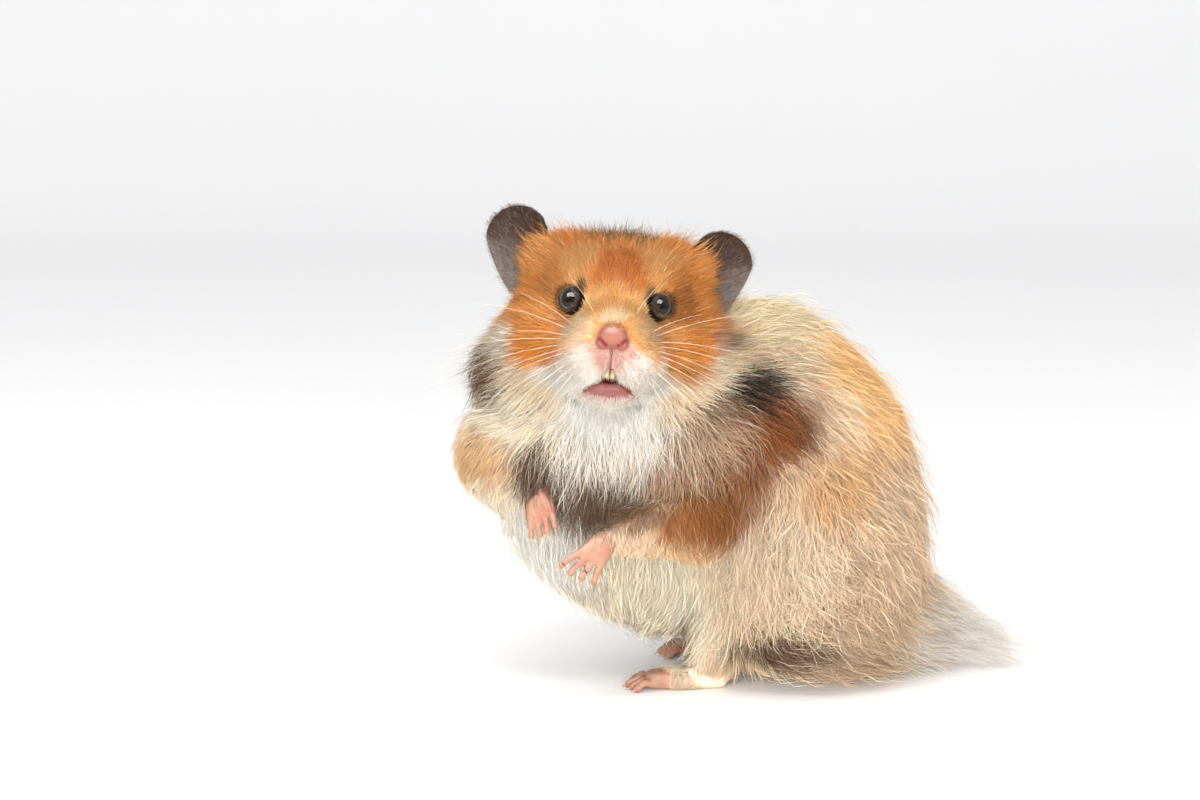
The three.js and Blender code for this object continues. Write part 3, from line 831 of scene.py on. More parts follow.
class Shade:
    """A shader socket. Arithmetic on it adds Math nodes, and node() adds a node of any other kind."""

    def __init__(self, tree, socket=None):
        self.tree, self.socket = tree, socket

    def node(self, kind, settings=None, output=0, **inputs):
        """Adds a node, sets its settings, then its inputs by name or place, and returns one of its
        outputs."""
        made = self.tree.nodes.new("ShaderNode" + kind)
        for name, value in (settings or {}).items():
            setattr(made, name, value)
        for name, value in inputs.items():
            key = int(name[1:]) if name[0] == "_" else name.replace("_", " ")
            if isinstance(value, Shade):
                self.tree.links.new(made.inputs[key], value.socket)
            else:
                made.inputs[key].default_value = value
        return Shade(self.tree, made.outputs[output])

    def maths(self, operation, a, b):
        return self.node("Math", {"operation": operation}, _0=a, _1=b)

    def __add__(self, other):
        return self.maths("ADD", self, other)

    def __sub__(self, other):
        return self.maths("SUBTRACT", self, other)

    def __rsub__(self, other):
        return self.maths("SUBTRACT", other, self)

    def __mul__(self, other):
        return self.maths("MULTIPLY", self, other)

    __radd__, __rmul__ = __add__, __mul__


def noise(shade, scale, detail=2.0):
    """Noise between 0 and 1 over a piece, with scale in waves to the metre."""
    return shade.node("TexNoise", Vector=shade.node("TexCoord", output=3), Scale=scale, Detail=detail)


def between(shade, share, one, other, blend="MIX"):
    """Mix of two colours by a share: one where it is 0, the other where it is 1."""
    return shade.node("Mix", {"data_type": "RGBA", "blend_type": blend}, 2, _0=share, _6=one, _7=other)


def finish(name, build):
    """A material whose surface is what build returns for a Shade on its node tree."""
    made = bpy.data.materials.new(name)
    made.use_nodes = True
    made.node_tree.nodes.clear()
    surface = build(Shade(made.node_tree))
    out = made.node_tree.nodes.new("ShaderNodeOutputMaterial")
    made.node_tree.links.new(out.inputs["Surface"], surface.socket)
    return made


def bare_skin(shade):
    """Skin with fine creases and pores, a little light going in, and its colour from the piece."""
    colour = shade.node("Attribute", {"attribute_name": "colour"})
    mottle = noise(shade, 900, 3) * 0.5 + 0.75
    blush = between(shade, 0.5, colour, mottle, "MULTIPLY")
    creases = noise(shade, 5200, 4)
    bump = shade.node("Bump", Strength=0.35, Distance=0.00012, Height=creases)
    rough = noise(shade, 2400) * 0.25 + 0.36
    light_in = {"Subsurface_Weight": 0.2, "Subsurface_Radius": (1.0, 0.35, 0.2), "Subsurface_Scale": 0.0008}
    return shade.node(
        "BsdfPrincipled", Base_Color=blush, Roughness=rough, Normal=bump, Specular_IOR_Level=0.3, **light_in
    )


def new_piece(name, points, faces, surface, slot, stands_for, colours=None):
    """Puts body-frame points and faces into a mesh in the solids' frame, with its finish and colours, and
    hides the solids that it replaces. slot is not used."""
    mesh = bpy.data.meshes.new(name)
    mesh.vertices.add(len(points))
    mesh.vertices.foreach_set("co", ((points + PLACE) * MM).astype(np.float32).ravel())
    mesh.loops.add(faces.size)
    mesh.polygons.add(len(faces))
    mesh.polygons.foreach_set("loop_start", np.arange(0, faces.size, faces.shape[1], dtype=np.int32))
    mesh.polygons.foreach_set("vertices", faces.astype(np.int32).ravel())
    mesh.update(calc_edges=True)
    mesh.shade_smooth()
    if colours is not None:
        layer = mesh.color_attributes.new("colour", "FLOAT_COLOR", "POINT")
        opaque = np.hstack([colours, np.ones((len(points), 1))])
        layer.data.foreach_set("color", opaque.astype(np.float32).ravel())
    mesh.materials.append(surface)
    piece = bpy.data.objects.new(name, mesh)
    bpy.context.scene.collection.objects.link(piece)
    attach(piece, "root")
    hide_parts(*stands_for)
    return piece


PAIRED = ["ear", "foreleg", "forepaw", "hind_leg", "hind_foot"]
FLESH_NODES = ["head", "nose", "neck", "chest", "trunk", "rump", "tail"]
FLESH_NODES += [f"{part}_{side}" for part in PAIRED for side in SIDES]
new_piece(
    "skin",
    np.concatenate([points for points, _, _ in skin_parts]),
    np.concatenate([faces + start for (_, faces, _), start in zip(skin_parts, starts)]),
    finish("bare_skin", bare_skin),
    "bare_skin",
    FLESH_NODES,
    np.concatenate([tone for _, _, tone in skin_parts]),
)

# ---------- Eyes ----------
# Wet black balls with a dark brown iris that shows only at a glance, and a slightly bulging cornea. Each
# sits in its lid rim, most of it inside the head.


def spindles(paths, radii, sides, toward):
    """Closed bars with a point at either end. paths is bars x stations x 3, radii is bars x inner
    stations, and each ring is a circle about the path's heading, started from the side that faces
    toward."""
    count, stations, _ = paths.shape
    heading = paths[:, 2:] - paths[:, :-2]
    heading /= np.maximum(np.linalg.norm(heading, axis=2, keepdims=True), 1e-9)
    first = np.cross(heading, toward[:, None, :])
    first /= np.maximum(np.linalg.norm(first, axis=2, keepdims=True), 1e-9)
    second = np.cross(heading, first)
    angle = 2 * np.pi * np.arange(sides) / sides
    circle = first[:, :, None] * np.cos(angle)[:, None] + second[:, :, None] * np.sin(angle)[:, None]
    ring_points = paths[:, 1:-1, None] + radii[:, :, None, None] * circle
    points = np.concatenate([paths[:, :1], ring_points.reshape(count, -1, 3), paths[:, -1:]], 1)
    one = ring_faces(stations - 2, sides)
    faces = (one[None] + points.shape[1] * np.arange(count)[:, None, None]).reshape(-1, 3)
    return points.reshape(-1, 3), faces


def eyeball(side, steps=28, sides=56):
    """Sphere about the eye's axis: circles of radius sqrt(R squared - height squared), with the front 3%
    fuller."""
    axis = EYE_AXIS * [side, 1, 1]
    height = -np.cos(np.linspace(0, np.pi, steps))
    fuller = 1 + 0.03 * soft_step(height, 0.72, 1)
    path = EYE_AT * [side, 1, 1] + (EYE_RADIUS * height * fuller)[:, None] * axis
    radii = EYE_RADIUS * np.sqrt(1 - height[1:-1] ** 2) * fuller[1:-1]
    toward = np.array([[0.0, 0.0, 1.0]])
    points, faces = spindles(path[None], radii[None], sides, toward)
    return from_head(points), faces


def wet_eye(shade):
    """Near black, streaked with very dark brown, smooth and wet."""
    streaks = noise(shade, 3000, 3)
    iris = between(shade, streaks, (0.004, 0.003, 0.003, 1), (0.012, 0.007, 0.005, 1))
    return shade.node("BsdfPrincipled", Base_Color=iris, Roughness=0.03, Specular_IOR_Level=0.3)


eye_finish = finish("wet_eye", wet_eye)
for name, side in SIDES.items():
    new_piece(f"eyeball_{name}", *eyeball(side), eye_finish, "eye", [f"eye_{name}"])

# ---------- Incisors ----------
# Two upper front teeth of ivory-yellow enamel, side by side, that show in the open mouth. They come down
# from the gum inside the upper lip and end bluntly.


def incisor_pair():
    """Each tooth is a bar with round rings from the gum to the tip, closed at both ends."""
    share = np.array([0, 0.02, 0.25, 0.5, 0.75, 0.97, 1.0])
    start, end = np.array([0, -18.9, -11.6]), np.array([0, -20.0, -13.3])
    forward = np.array([0, -0.25, 0])
    paths, radii = [], []
    for side in (-1, 1):
        middle = side * (0.4 + 0.16 * share)
        path = start + share[:, None] * (end - start) + np.sin(np.pi * share)[:, None] * forward
        path[:, 0] += middle
        paths.append(path)
        radii.append(np.array([0.3, 0.34, 0.4, 0.44, 0.44]))
    points, faces = spindles(np.array(paths), np.array(radii), 12, np.tile([0.0, 1.0, 0.0], (2, 1)))
    return from_head(points), faces


def enamel(shade):
    """Yellow enamel that wanders between two tones, smooth with faint lines."""
    lines = noise(shade, 4000)
    colour = between(shade, lines, (*tint(152, 118, 78), 1), (*tint(184, 162, 122), 1))
    return shade.node("BsdfPrincipled", Base_Color=colour, Roughness=lines * 0.2 + 0.2)


new_piece("incisor_pair", *incisor_pair(), finish("enamel", enamel), "incisor", ["incisors"])

# ---------- Claws ----------
# Short claws of pale horn, one on each finger and toe, curving down to a point. Each is rooted inside the
# tip of its finger, where the paw noted its place.


def claw_set():
    """Bars along a quarter bend: base, then ahead by the share of the length and down by its square."""
    base = np.array([at for at, _ in claw_bases])
    ahead = np.array([way for _, way in claw_bases])
    share = np.array([-0.25, 0.0, 0.4, 0.75, 1.0])
    down = np.array([0, 0, -0.35])
    paths = base[:, None] + CLAW * (share[:, None] * ahead[:, None] + (share**2)[:, None] * down)
    paths[:, :, 2] = np.maximum(paths[:, :, 2], 0.12)
    radii = np.tile([0.26, 0.19, 0.1], (len(base), 1))
    return spindles(paths, radii, 8, np.tile([0.0, 0.0, 1.0], (len(base), 1)) + 0.3 * ahead[:, [1, 0, 2]])


def horn(shade):
    """Pale, slightly rosy horn with fine streaks."""
    streaks = noise(shade, 2600)
    colour = between(shade, streaks, (*tint(168, 128, 110), 1), (*tint(190, 158, 138), 1))
    return shade.node("BsdfPrincipled", Base_Color=colour, Roughness=streaks * 0.2 + 0.28)


CLAWED = [f"{part}_{side}" for part in ("forepaw", "hind_foot") for side in SIDES]
new_piece("claw_set", *claw_set(), finish("horn", horn), "claw", CLAWED)

# ---------- Lie of the coat ----------
# Hair lies away from the nose and from each eye on the head, and back and down over the body. Long hair
# gathers in locks, stands a little open on the thigh, and runs out along the floor at the skirt and tail.

NOSE_TIP = np.array([0, -24, -5.0])
LIE = [  # place and heading, in the body frame
    ([30, 0, 77], [1, 0, -0.15]),
    ([38, 8, 78], [0.95, 0, -0.3]),
    ([48, 5, 72], [0.85, 0, -0.5]),
    ([56, 4, 63], [0.75, 0, -0.65]),
    ([61, 0, 52], [0.6, 0, -0.8]),
    ([31, -8, 71], [1, 0, 0.1]),
    ([38, -6, 70], [0.9, 0, -0.35]),
    ([44, -8, 64], [0.55, 0, -0.8]),
    ([30, -14, 64], [0.85, 0, -0.5]),
    ([39, -13, 58], [0.8, 0, -0.6]),
    ([22, -19, 54], [0.65, 0, -0.75]),
    ([12, -17, 52], [0.35, 0, -0.93]),
    ([1, -16, 52], [0, 0, -1]),
    ([-8, -14, 52], [-0.45, 0, -0.9]),
    ([-18, -10, 58], [-0.8, 0, -0.6]),
    ([-24, -4, 66], [-0.8, 0.3, -0.5]),
    ([-24, -9, 48], [-0.5, 0, -0.85]),
    ([-13, -13, 46], [-0.1, 0, -1]),
    ([0, -13, 40], [-0.1, 0, -1]),
    ([8, -20, 41], [-0.25, 0, -0.97]),
    ([19, -22, 39], [0.1, 0, -1]),
    ([27, -18, 44], [0.5, 0, -0.85]),
    ([21, -19, 33], [0.1, 0, -1]),
    ([30, -17, 40], [-0.5, -0.2, -0.8]),
    ([34, -16, 36], [-0.4, 0, -0.9]),
    ([48, -13, 46], [0.3, 0, -0.95]),
    ([44, -13, 52], [0.6, 0, -0.8]),
    ([60, -6, 42], [0.5, 0, -0.85]),
    ([40, -17, 27], [0.35, 0, -0.93]),
    ([28, -14, 20], [0, -0.2, -1]),
    ([46, -15, 16], [0.3, -0.3, -0.9]),
    ([62, -8, 30], [0.4, 0, -0.9]),
    ([64, -4, 14], [0.75, -0.1, -0.6]),
    ([46, -10, 5], [0.6, -0.6, -0.3]),
    ([2, -6, 26], [0, 0, -1]),
    ([17, -3, 10], [-0.5, 0, -0.85]),
    ([75, 14, 10], [0.95, 0, -0.25]),
]
MIDLINE_Y = 15
BODY_LIE = np.array([0.6, 0, -0.75])
LIE_SPREAD = 8.0


def about(p, centre, radii):
    """1 at a centre, falling to 0 round it: exp of less the square of the distance in radii."""
    return np.exp(-(((p - centre) / radii) ** 2).sum(1))


def by_ear(q):
    """1 on the long fur in front of each ear, falling to 0 round it, in the head's frame."""
    return about(np.stack([np.abs(q[:, 0]), q[:, 1], q[:, 2]], 1), [15.5, 0, 9.5], [3.4, 5, 6])


def head_share(p):
    """1 on the head, 0 on the body, even between."""
    return np.clip(0.5 + head_lead(p) / 4, 0, 1)


def lie_of(p):
    """Heading of the coat: on the body a mean of the named headings, each weighted by exp(-(distance /
    spread)^2), on the head straight back from the nose with a push away from each eye. Headings well to
    one side serve on the other too, mirrored."""
    places = np.array([place for place, _ in LIE], float)
    headings = np.array([heading for _, heading in LIE], float)
    sided = (places[:, 1] < 0) & (np.abs(places[:, 0]) > 15)
    places = np.concatenate([places, places[sided] * [1, -1, 1] + [0, 2 * MIDLINE_Y, 0]])
    headings = np.concatenate([headings, headings[sided] * [1, -1, 1]])
    gap = (p * p).sum(1)[:, None] - 2 * p @ places.T + (places * places).sum(1)
    body = np.exp(-gap / LIE_SPREAD**2) @ unit(headings) + 0.03 * BODY_LIE
    q = to_head(p)
    outward = np.stack([np.sign(q[:, 0]), 0 * q[:, 0] - 0.4, 0 * q[:, 0] + 0.3], 1)
    head = unit(q - NOSE_TIP) + 1.6 * by_ear(q)[:, None] * outward
    for side in (-1, 1):
        away = q - EYE_AT * [side, 1, 1]
        distance = np.linalg.norm(away, axis=1, keepdims=True)
        head += 1.9 * np.exp(-((distance / 4.2) ** 2)) * away / distance
    return unit(unit(body) + head_share(p)[:, None] * (unit(head) @ HEAD_TURN.T - unit(body)))


def laid(roots, length, reach, stray, lift, level_at):
    """Paths of hairs laid over a form, stray being hairs x steps. Each step goes along the lie, turned by
    its stray, and towards the level that the hair should have reached: start + rise x (1 - (1 -
    share)^1.8). The rise is reach times the coat's depth, and no less than lift times the length. Every
    second place is kept."""
    start = level_at(roots)
    rise = np.maximum(-start * reach, lift * length)
    steps = stray.shape[1]
    stride = (length / steps)[:, None]
    p, path = roots, [roots]
    for step in range(1, steps + 1):
        out = unit(slope_of(level_at, p, 0.2))
        lie = lie_of(p)
        lie = unit(lie - (lie * out).sum(1, keepdims=True) * out)
        turn = stray[:, step - 1, None]
        way = np.cos(turn) * lie + np.sin(turn) * np.cross(out, lie)
        target = start + rise * (1 - (1 - step / steps) ** 1.8)
        move = way * stride + out * (target - level_at(p))[:, None]
        p = p + unit(move) * stride
        p[:, 2] = np.maximum(p[:, 2], 0.15)
        if step % 2 == 0:
            path.append(p)
    return np.stack(path, 1)


def nearest(points, centres):
    """Which centre is nearest to each point, a few thousand points at a time."""
    points, centres = points.astype(np.float32), centres.astype(np.float32)
    size = (centres * centres).sum(1)
    return np.concatenate(
        [(size - 2 * part @ centres.T).argmin(1) for part in np.array_split(points, len(points) // 4000 + 1)]
    )


def gathered(paths, leaders, pinch):
    """Draws each hair towards the leading hair of its lock, by pinch x share^1.3 along its length."""
    lead = leaders[nearest(paths[:, 0], paths[leaders, 0])]
    share = np.linspace(0, 1, paths.shape[1])[None, :, None] ** 1.3
    return paths + pinch[:, None, None] * share * (paths[lead] - paths)


def scattered(points, faces, density, draw):
    """Roots on four-sided faces: systematic sampling of area x density, so that they are spread evenly."""
    a, b, c, d = (points[faces[:, k]] for k in range(4))
    area = np.linalg.norm(np.cross(c - a, d - b), axis=1) / 2
    total = np.cumsum(area * density((a + b + c + d) / 4))
    count = int(total[-1])
    pick = np.searchsorted(total, (np.arange(count) + draw.uniform(size=count)) * total[-1] / count)
    pick = np.minimum(pick, len(faces) - 1)
    u, v = draw.uniform(size=(2, count, 1))
    a, b, c, d = (points[faces[pick, k]] for k in range(4))
    return (1 - v) * ((1 - u) * a + u * b) + v * ((1 - u) * d + u * c)


# ---------- Coat ----------
# Short on the face and feet, dense and plush on the head, and long, fine and open over the body. Each
# hair is a closed three-sided spindle. The coat is divided into pieces by nearest middle, all with one
# finish of fur.

HAIR_SIDES = 3
PATCH = 0.003  # size of one hair's patch on the bake map
COAT = {  # piece: middle, slot, the solids it stands for
    "coat_muzzle": ([3, -20, 72], "coat_gold", ["head"]),
    "coat_brow_left": ([11, -12, 87], "coat_gold", ["head"]),
    "coat_brow_right": ([-6, -12, 89], "coat_gold", ["head"]),
    "coat_crown": ([3, 8, 94], "coat_gold", ["head"]),
    "coat_cheek_left": ([21, -4, 74], "coat_gold", ["head"]),
    "coat_cheek_right": ([-16, -4, 76], "coat_gold", ["head"]),
    "coat_throat": ([2, -14, 60], "coat_white", ["head", "chest"]),
    "coat_chest": ([0, -14, 45], "coat_white", ["chest", "foreleg_right", "foreleg_left"]),
    "coat_ruff_right": ([-24, 14, 62], "coat_white", ["chest"]),
    "coat_nape": ([20, 24, 76], "coat_fawn", ["neck", "trunk"]),
    "coat_shoulder_left": ([28, -12, 54], "coat_fawn", ["neck", "trunk"]),
    "coat_back": ([50, 14, 74], "coat_cream", ["trunk"]),
    "coat_flank_left": ([56, -10, 44], "coat_fawn", ["trunk", "rump"]),
    "coat_haunch_left": ([44, -14, 22], "coat_cream", ["hind_leg_left", "rump"]),
    "coat_arm_left": ([18, -20, 36], "coat_sable", ["foreleg_left", "trunk"]),
    "coat_shoulder_right": ([26, 40, 52], "coat_cream", ["trunk", "foreleg_right"]),
    "coat_haunch_right": ([44, 44, 28], "coat_cream", ["hind_leg_right", "rump"]),
    "coat_belly": ([0, 8, 24], "coat_cream", ["trunk", "chest"]),
    "coat_skirt": ([52, -4, 5], "coat_fawn", ["rump", "hind_leg_left", "hind_leg_right"]),
    "coat_tail": ([72, 16, 16], "coat_cream", ["tail", "rump"]),
}


def bare_share(p):
    """1 where no hair grows: nose, mouth, the inside of the lids, the fingers and toes, and what is on
    the floor."""
    q = to_head(p)
    low = soft_step(q[:, 2], -17, -14.6)
    nose = nose_share(q) * (1 - 0.7 * soft_step(q[:, 2], -4.4, -2.8))
    bare = np.maximum(nose, np.maximum((0.4 + 0.5 * low) * lip_share(q), 0.9 * mouth_share(q)))
    bare = np.maximum(bare, philtrum_share(q))
    gap = eye_gap(q)
    bare = np.maximum(bare, 1 - soft_step(gap, 2.96, 3.04))
    bare = np.maximum(bare, (0.9 - 0.9 * heel_share(p)) * limb_share(p))
    return np.maximum(bare, p[:, 2] < 0.6)


HAIRS = {"body": 3.8, "breast": 2.4, "heel": 14, "head": 12, "face": 16}  # to the square millimetre
THIN_BELOW = 0.5  # share of them missing near the floor
THIN_TRAIL = 0.68  # and in the hair that trails behind


def density_of(p):
    """Hairs to the square millimetre: those of the body and more on the breast and heels, or those of the
    head and more on the face."""
    q = to_head(p)
    head = head_share(p)
    face = soft_step(-q[:, 1], -4, 10)
    front = soft_step(-p[:, 1], -26, -4)
    low = soft_step(-p[:, 2], -14, -4)
    body = (HAIRS["body"] + HAIRS["breast"] * front) * (1 - THIN_BELOW * low)
    body *= 1 - THIN_TRAIL * trail_share(p)
    body += HAIRS["heel"] * heel_share(p) * limb_share(p)
    return (body + head * (HAIRS["head"] + HAIRS["face"] * face - body)) * (1 - bare_share(p))


def trail_share(p):
    """1 where the coat runs out loosely along the floor behind, 0 elsewhere."""
    return soft_step(p[:, 0], 56, 74) * soft_step(-p[:, 2], -34, -14)


def fineness(q):
    """Share of its full length that hair has near the nose, the mouth and the eyes, in the head's frame."""
    nose = soft_step(level_of(NOSE, q, 1), 0, 5.5)
    mouth = soft_step(mouth_gap(q), 0.3, 3.6)
    gap = eye_gap(q)
    eye = soft_step(gap, 2.8, 6)
    near_face = q[:, 1] < -9
    share = (0.42 + 0.58 * nose) * (0.4 + 0.6 * mouth) * (0.62 + 0.38 * eye)
    return np.where(near_face, share, 1)


def mouth_gap(q):
    """Distance seen from the front to the line of the lips."""
    return line_gap(q, [[0, 0, -13.6]] + MOUTH_CORNER)


HAIR_LENGTH = (0.55, 1.7)  # where the coat has no depth, and more for each millimetre of it
HAIR_RADIUS = (0.029, 0.0029)  # of a hair of no length, and more for each millimetre of it
HAIR_SPREAD = (0.7, 1.25)  # least and greatest share of its length that a hair comes to
FLYAWAY = (0.1, 0.06)  # share of hairs that stand out of the coat, on the body and on the head
FLYAWAY_REACH = (1.1, 1.9)
FLYAWAY_LENGTH = 1.3
TUFTED = 0.2  # share of the crown's hairs that stand up in tufts
TUFT_REACH = (0.7, 1.7)
SWAY = {"body": 20, "head": 12, "thigh": 26, "trail": 16}  # degrees off the lie, the last two on top
LOCKS = (90, 10)  # hairs to a broad lock and to a fine one


def grown(roots, draw, steps):
    """Hairs that grow from roots: their paths, radii and colours. A hair's length follows the depth of
    the coat there, times a random share, and it reaches a random share of that depth. Chin, crown, shins
    and the fur in front of the ears have longer hair. steps is how many places are worked out along
    each."""
    count = len(roots)
    q = to_head(roots)
    on_head = head_share(roots)
    trail = trail_share(roots)
    depth = -coat_level(roots)
    length = (HAIR_LENGTH[0] + HAIR_LENGTH[1] * depth) * draw.uniform(*HAIR_SPREAD, count) * fineness(q)
    chin = about(q, [0, -15, -21], [8, 6, 3.2])
    length = np.maximum(length, draw.uniform(0.9, 1.5, count) * (1 + 1.3 * chin)) + 4 * heel_share(roots)
    reach = draw.uniform(0.5, 1.0, count)
    flyaway = draw.uniform(size=count) < FLYAWAY[0] + (FLYAWAY[1] - FLYAWAY[0]) * on_head
    reach[flyaway] *= draw.uniform(*FLYAWAY_REACH, flyaway.sum())
    length[flyaway] *= FLYAWAY_LENGTH
    crown = soft_step(q[:, 2], 9, 14) * on_head
    tuft = crown * (draw.uniform(size=count) < TUFTED)
    reach *= 1 + 0.25 * crown + draw.uniform(*TUFT_REACH, count) * tuft
    length *= 1 + 0.25 * crown + 0.4 * tuft
    shin = about(roots, [15, 6, 12], [8, 16, 7]) * (1 - limb_share(roots))
    length += 3 * shin
    reach *= 1 + 0.7 * shin
    ear = by_ear(q) * on_head
    length += 4.0 * ear
    reach *= 1 + 1.3 * ear
    reach *= 1 + draw.uniform(-0.3, 0.5, count) * trail
    gap = eye_gap(q)
    lift = 0.12 + 0.3 * (1 - soft_step(gap, 3.0, 4.2)) + 0.2 * chin
    loose = about(roots, [42, -16, 24], [17, 16, 15])  # the woolly thigh
    sway = SWAY["body"] + (SWAY["head"] - SWAY["body"]) * on_head
    sway = np.radians(sway + SWAY["thigh"] * loose + SWAY["trail"] * trail)
    stray = draw.normal(size=count) * sway * 0.8
    stray = stray[:, None] + np.cumsum(draw.normal(size=(count, steps)), 1) * (sway * 0.5)[:, None]
    paths = laid(roots, length, reach, stray, lift, coat_level)
    order = draw.permutation(count)
    broad = (0.26 - 0.2 * on_head) * (1 - 0.6 * loose)
    paths = gathered(paths, order[: count // LOCKS[0]], broad)
    fine = (0.36 - 0.1 * on_head) * (1 - 0.5 * loose) * draw.uniform(0.4, 1.3, count)
    paths = gathered(paths, order[: count // LOCKS[1]], fine)
    thick = (HAIR_RADIUS[0] + HAIR_RADIUS[1] * length) * (1 - 0.1 * on_head) * draw.uniform(0.8, 1.2, count)
    look = paths[:, paths.shape[1] // 2] + draw.normal(size=(count, 3)) * (1.4 - 1.0 * on_head)[:, None]
    uneven = draw.normal(size=(count, 2)) * (0.14 + 0.08 * on_head)[:, None]
    tone = markings(look) ** (1 + uneven[:, :1]) * np.exp(0.7 * uneven[:, 1:])
    inner_top = soft_step(q[:, 2] - 0.5 * np.abs(q[:, 0]), -4.2, -0.8)
    lash = 0.9 * on_head * (1 - soft_step(lid_gap(q), 0.3, 0.4 + 0.6 * inner_top))
    tone += lash[:, None] * (SOOT - tone)
    pink = 0.7 * on_head * lip_share(q) * soft_step(q[:, 2], -18.2, -15.2)
    tone += pink[:, None] * (0.9 * BLUSH - tone)
    return paths, thick, np.clip(tone, 0, 1)


draw = np.random.default_rng(7)
roots = scattered(skin_points, skin_faces, density_of, draw)
ROOT_DUN = tint(150, 128, 112)


def fur(shade):
    """Hair: its colour from the piece, a little cloudy along the coat, with a soft shine."""
    colour = shade.node("Attribute", {"attribute_name": "colour"})
    cloud = noise(shade, 260, 2) * 0.24 + 0.9
    colour = between(shade, 1.0, colour, cloud, "MULTIPLY")
    rough = noise(shade, 1200) * 0.2 + 0.5
    surface = shade.node("BsdfPrincipled", Base_Color=colour, Roughness=rough, Specular_IOR_Level=0.2)
    through = shade.node("BsdfTranslucent", Color=colour)
    return shade.node("MixShader", Fac=0.5, _1=surface, _2=through)


def unwrapped(points, middle, facing):
    """Equal-area map of directions from a middle, opened out about the way a piece faces, fitted to 0 to
    1."""
    way = unit(points - middle)
    facing = facing / np.linalg.norm(facing)
    across = np.cross(facing, [0.13, 0.21, 0.97])
    across /= np.linalg.norm(across)
    up = np.cross(facing, across)
    spread = np.sqrt(2 / np.maximum(1 + way @ facing, 0.02))[:, None]
    flat = np.stack([way @ across, way @ up], 1) * spread
    low, high = flat.min(0), flat.max(0)
    return 0.01 + 0.98 * (flat - low) / (high - low)


def add_bake_map(piece, faces, places, stations, around):
    """Gives each hair a small patch at its root's place: across the patch round the hair, up it from root
    to tip."""
    along = np.repeat(np.linspace(-0.5, 0.5, stations), [1] + [around] * (stations - 2) + [1])
    turn = np.concatenate([[0], np.tile(np.linspace(-0.5, 0.5, around), stations - 2), [0]])
    patch = np.stack([turn, along], 1) * PATCH
    uv = (places[:, None] + patch[None]).reshape(-1, 2)
    layer = piece.data.uv_layers.new(name="OFBake")
    layer.data.foreach_set("uv", uv[faces.ravel()].astype(np.float32).ravel())


def tone_along(tone, stations, around):
    """Colour from root to tip: dun mixed in at the root where the hair isn't pale, and a slightly lighter
    tip."""
    pale = tone.min(1, keepdims=True)
    root = tone + 0.45 * (1 - soft_step(pale, 0.3, 0.7)) * (ROOT_DUN - tone)
    steps = []
    for share in np.linspace(0, 1, stations):
        shade = root + soft_step(share, 0, 0.55) * (tone - root)
        shade = shade + 0.14 * soft_step(share, 0.6, 1.0) * (1 - shade) * (0.4 + 0.6 * tone)
        steps.append(np.repeat(shade[:, None], 1 if share in (0, 1) else around, 1))
    return np.concatenate(steps, 1).reshape(-1, 3)


def new_coat(name, paths, radii, tone, slot, stands_for, inner):
    """Makes one piece of coat from its hairs' paths, radii and colours. inner is a place deep under it."""
    toward = unit(paths[:, -1] - paths[:, 0])[:, [1, 2, 0]]
    stations = paths.shape[1]
    points, faces = spindles(paths, radii, HAIR_SIDES, toward)
    colours = tone_along(tone, stations, HAIR_SIDES)
    piece = new_piece(name, points, faces, fur_finish, slot, stands_for, colours)
    places = unwrapped(paths[:, 0], inner, paths[:, 0].mean(0) - inner)
    add_bake_map(piece, faces, places, stations, HAIR_SIDES)


fur_finish = finish("fur", fur)
CORE = np.array([14.0, 12.0, 48.0])  # a place deep in the body
COAT_HEAD = 7  # pieces at the start of the list that hold the short hair of the head and throat
piece_of = nearest(roots, np.array([middle for middle, _, _ in COAT.values()], float))
for short in (True, False):
    chosen = (piece_of < COAT_HEAD) == short
    paths, thick, hair_tone = grown(roots[chosen], draw, 4 if short else 6)
    radii = thick[:, None] * ([1.0] if short else [1.0, 0.8])
    for number, (name, (_, slot, stands_for)) in enumerate(COAT.items()):
        mine = piece_of[chosen] == number
        if mine.any():
            inner = 0.5 * (paths[mine, 0].mean(0) + CORE)
            new_coat(name, paths[mine], radii[mine], hair_tone[mine], slot, stands_for, inner)

# ---------- Wisps ----------
# Long, fine, pale hairs, thinly spread, that blow out from the right shoulder and trail from the rump
# over the floor.

WISP_REACH = (-43.0, 105.0)  # least and greatest x that a wisp may come to
WISP_RADII = 0.026 * np.array([1, 0.95, 0.85, 0.7, 0.5])


def wisp_paths(middle, spread, heading, length, count, draw):
    """Each hair starts on the skin near a middle and runs root + length x share x heading, with a
    sideways wave that grows with the square of the share. It keeps above the floor, and hairs that would
    blow too far are left out."""
    close = skin_points[(((skin_points - middle) / spread) ** 2).sum(1) < 1]
    root = close[draw.integers(len(close), size=count)]
    way = unit(heading + 0.2 * draw.normal(size=(count, 3)))
    side = 0.3 * draw.normal(size=(count, 1, 3)) * [1, 1, 0.6]
    share = np.linspace(0, 1, 7)[None, :, None]
    size = draw.uniform(*length, (count, 1, 1))
    paths = root[:, None] + size * (share * way[:, None] + share**2 * side)
    paths[:, :, 2] = np.maximum(paths[:, :, 2], 0.1 + 0.4 * draw.uniform(size=(count, 1)))
    return paths[(paths[:, :, 0].min(1) > WISP_REACH[0]) & (paths[:, :, 0].max(1) < WISP_REACH[1])]


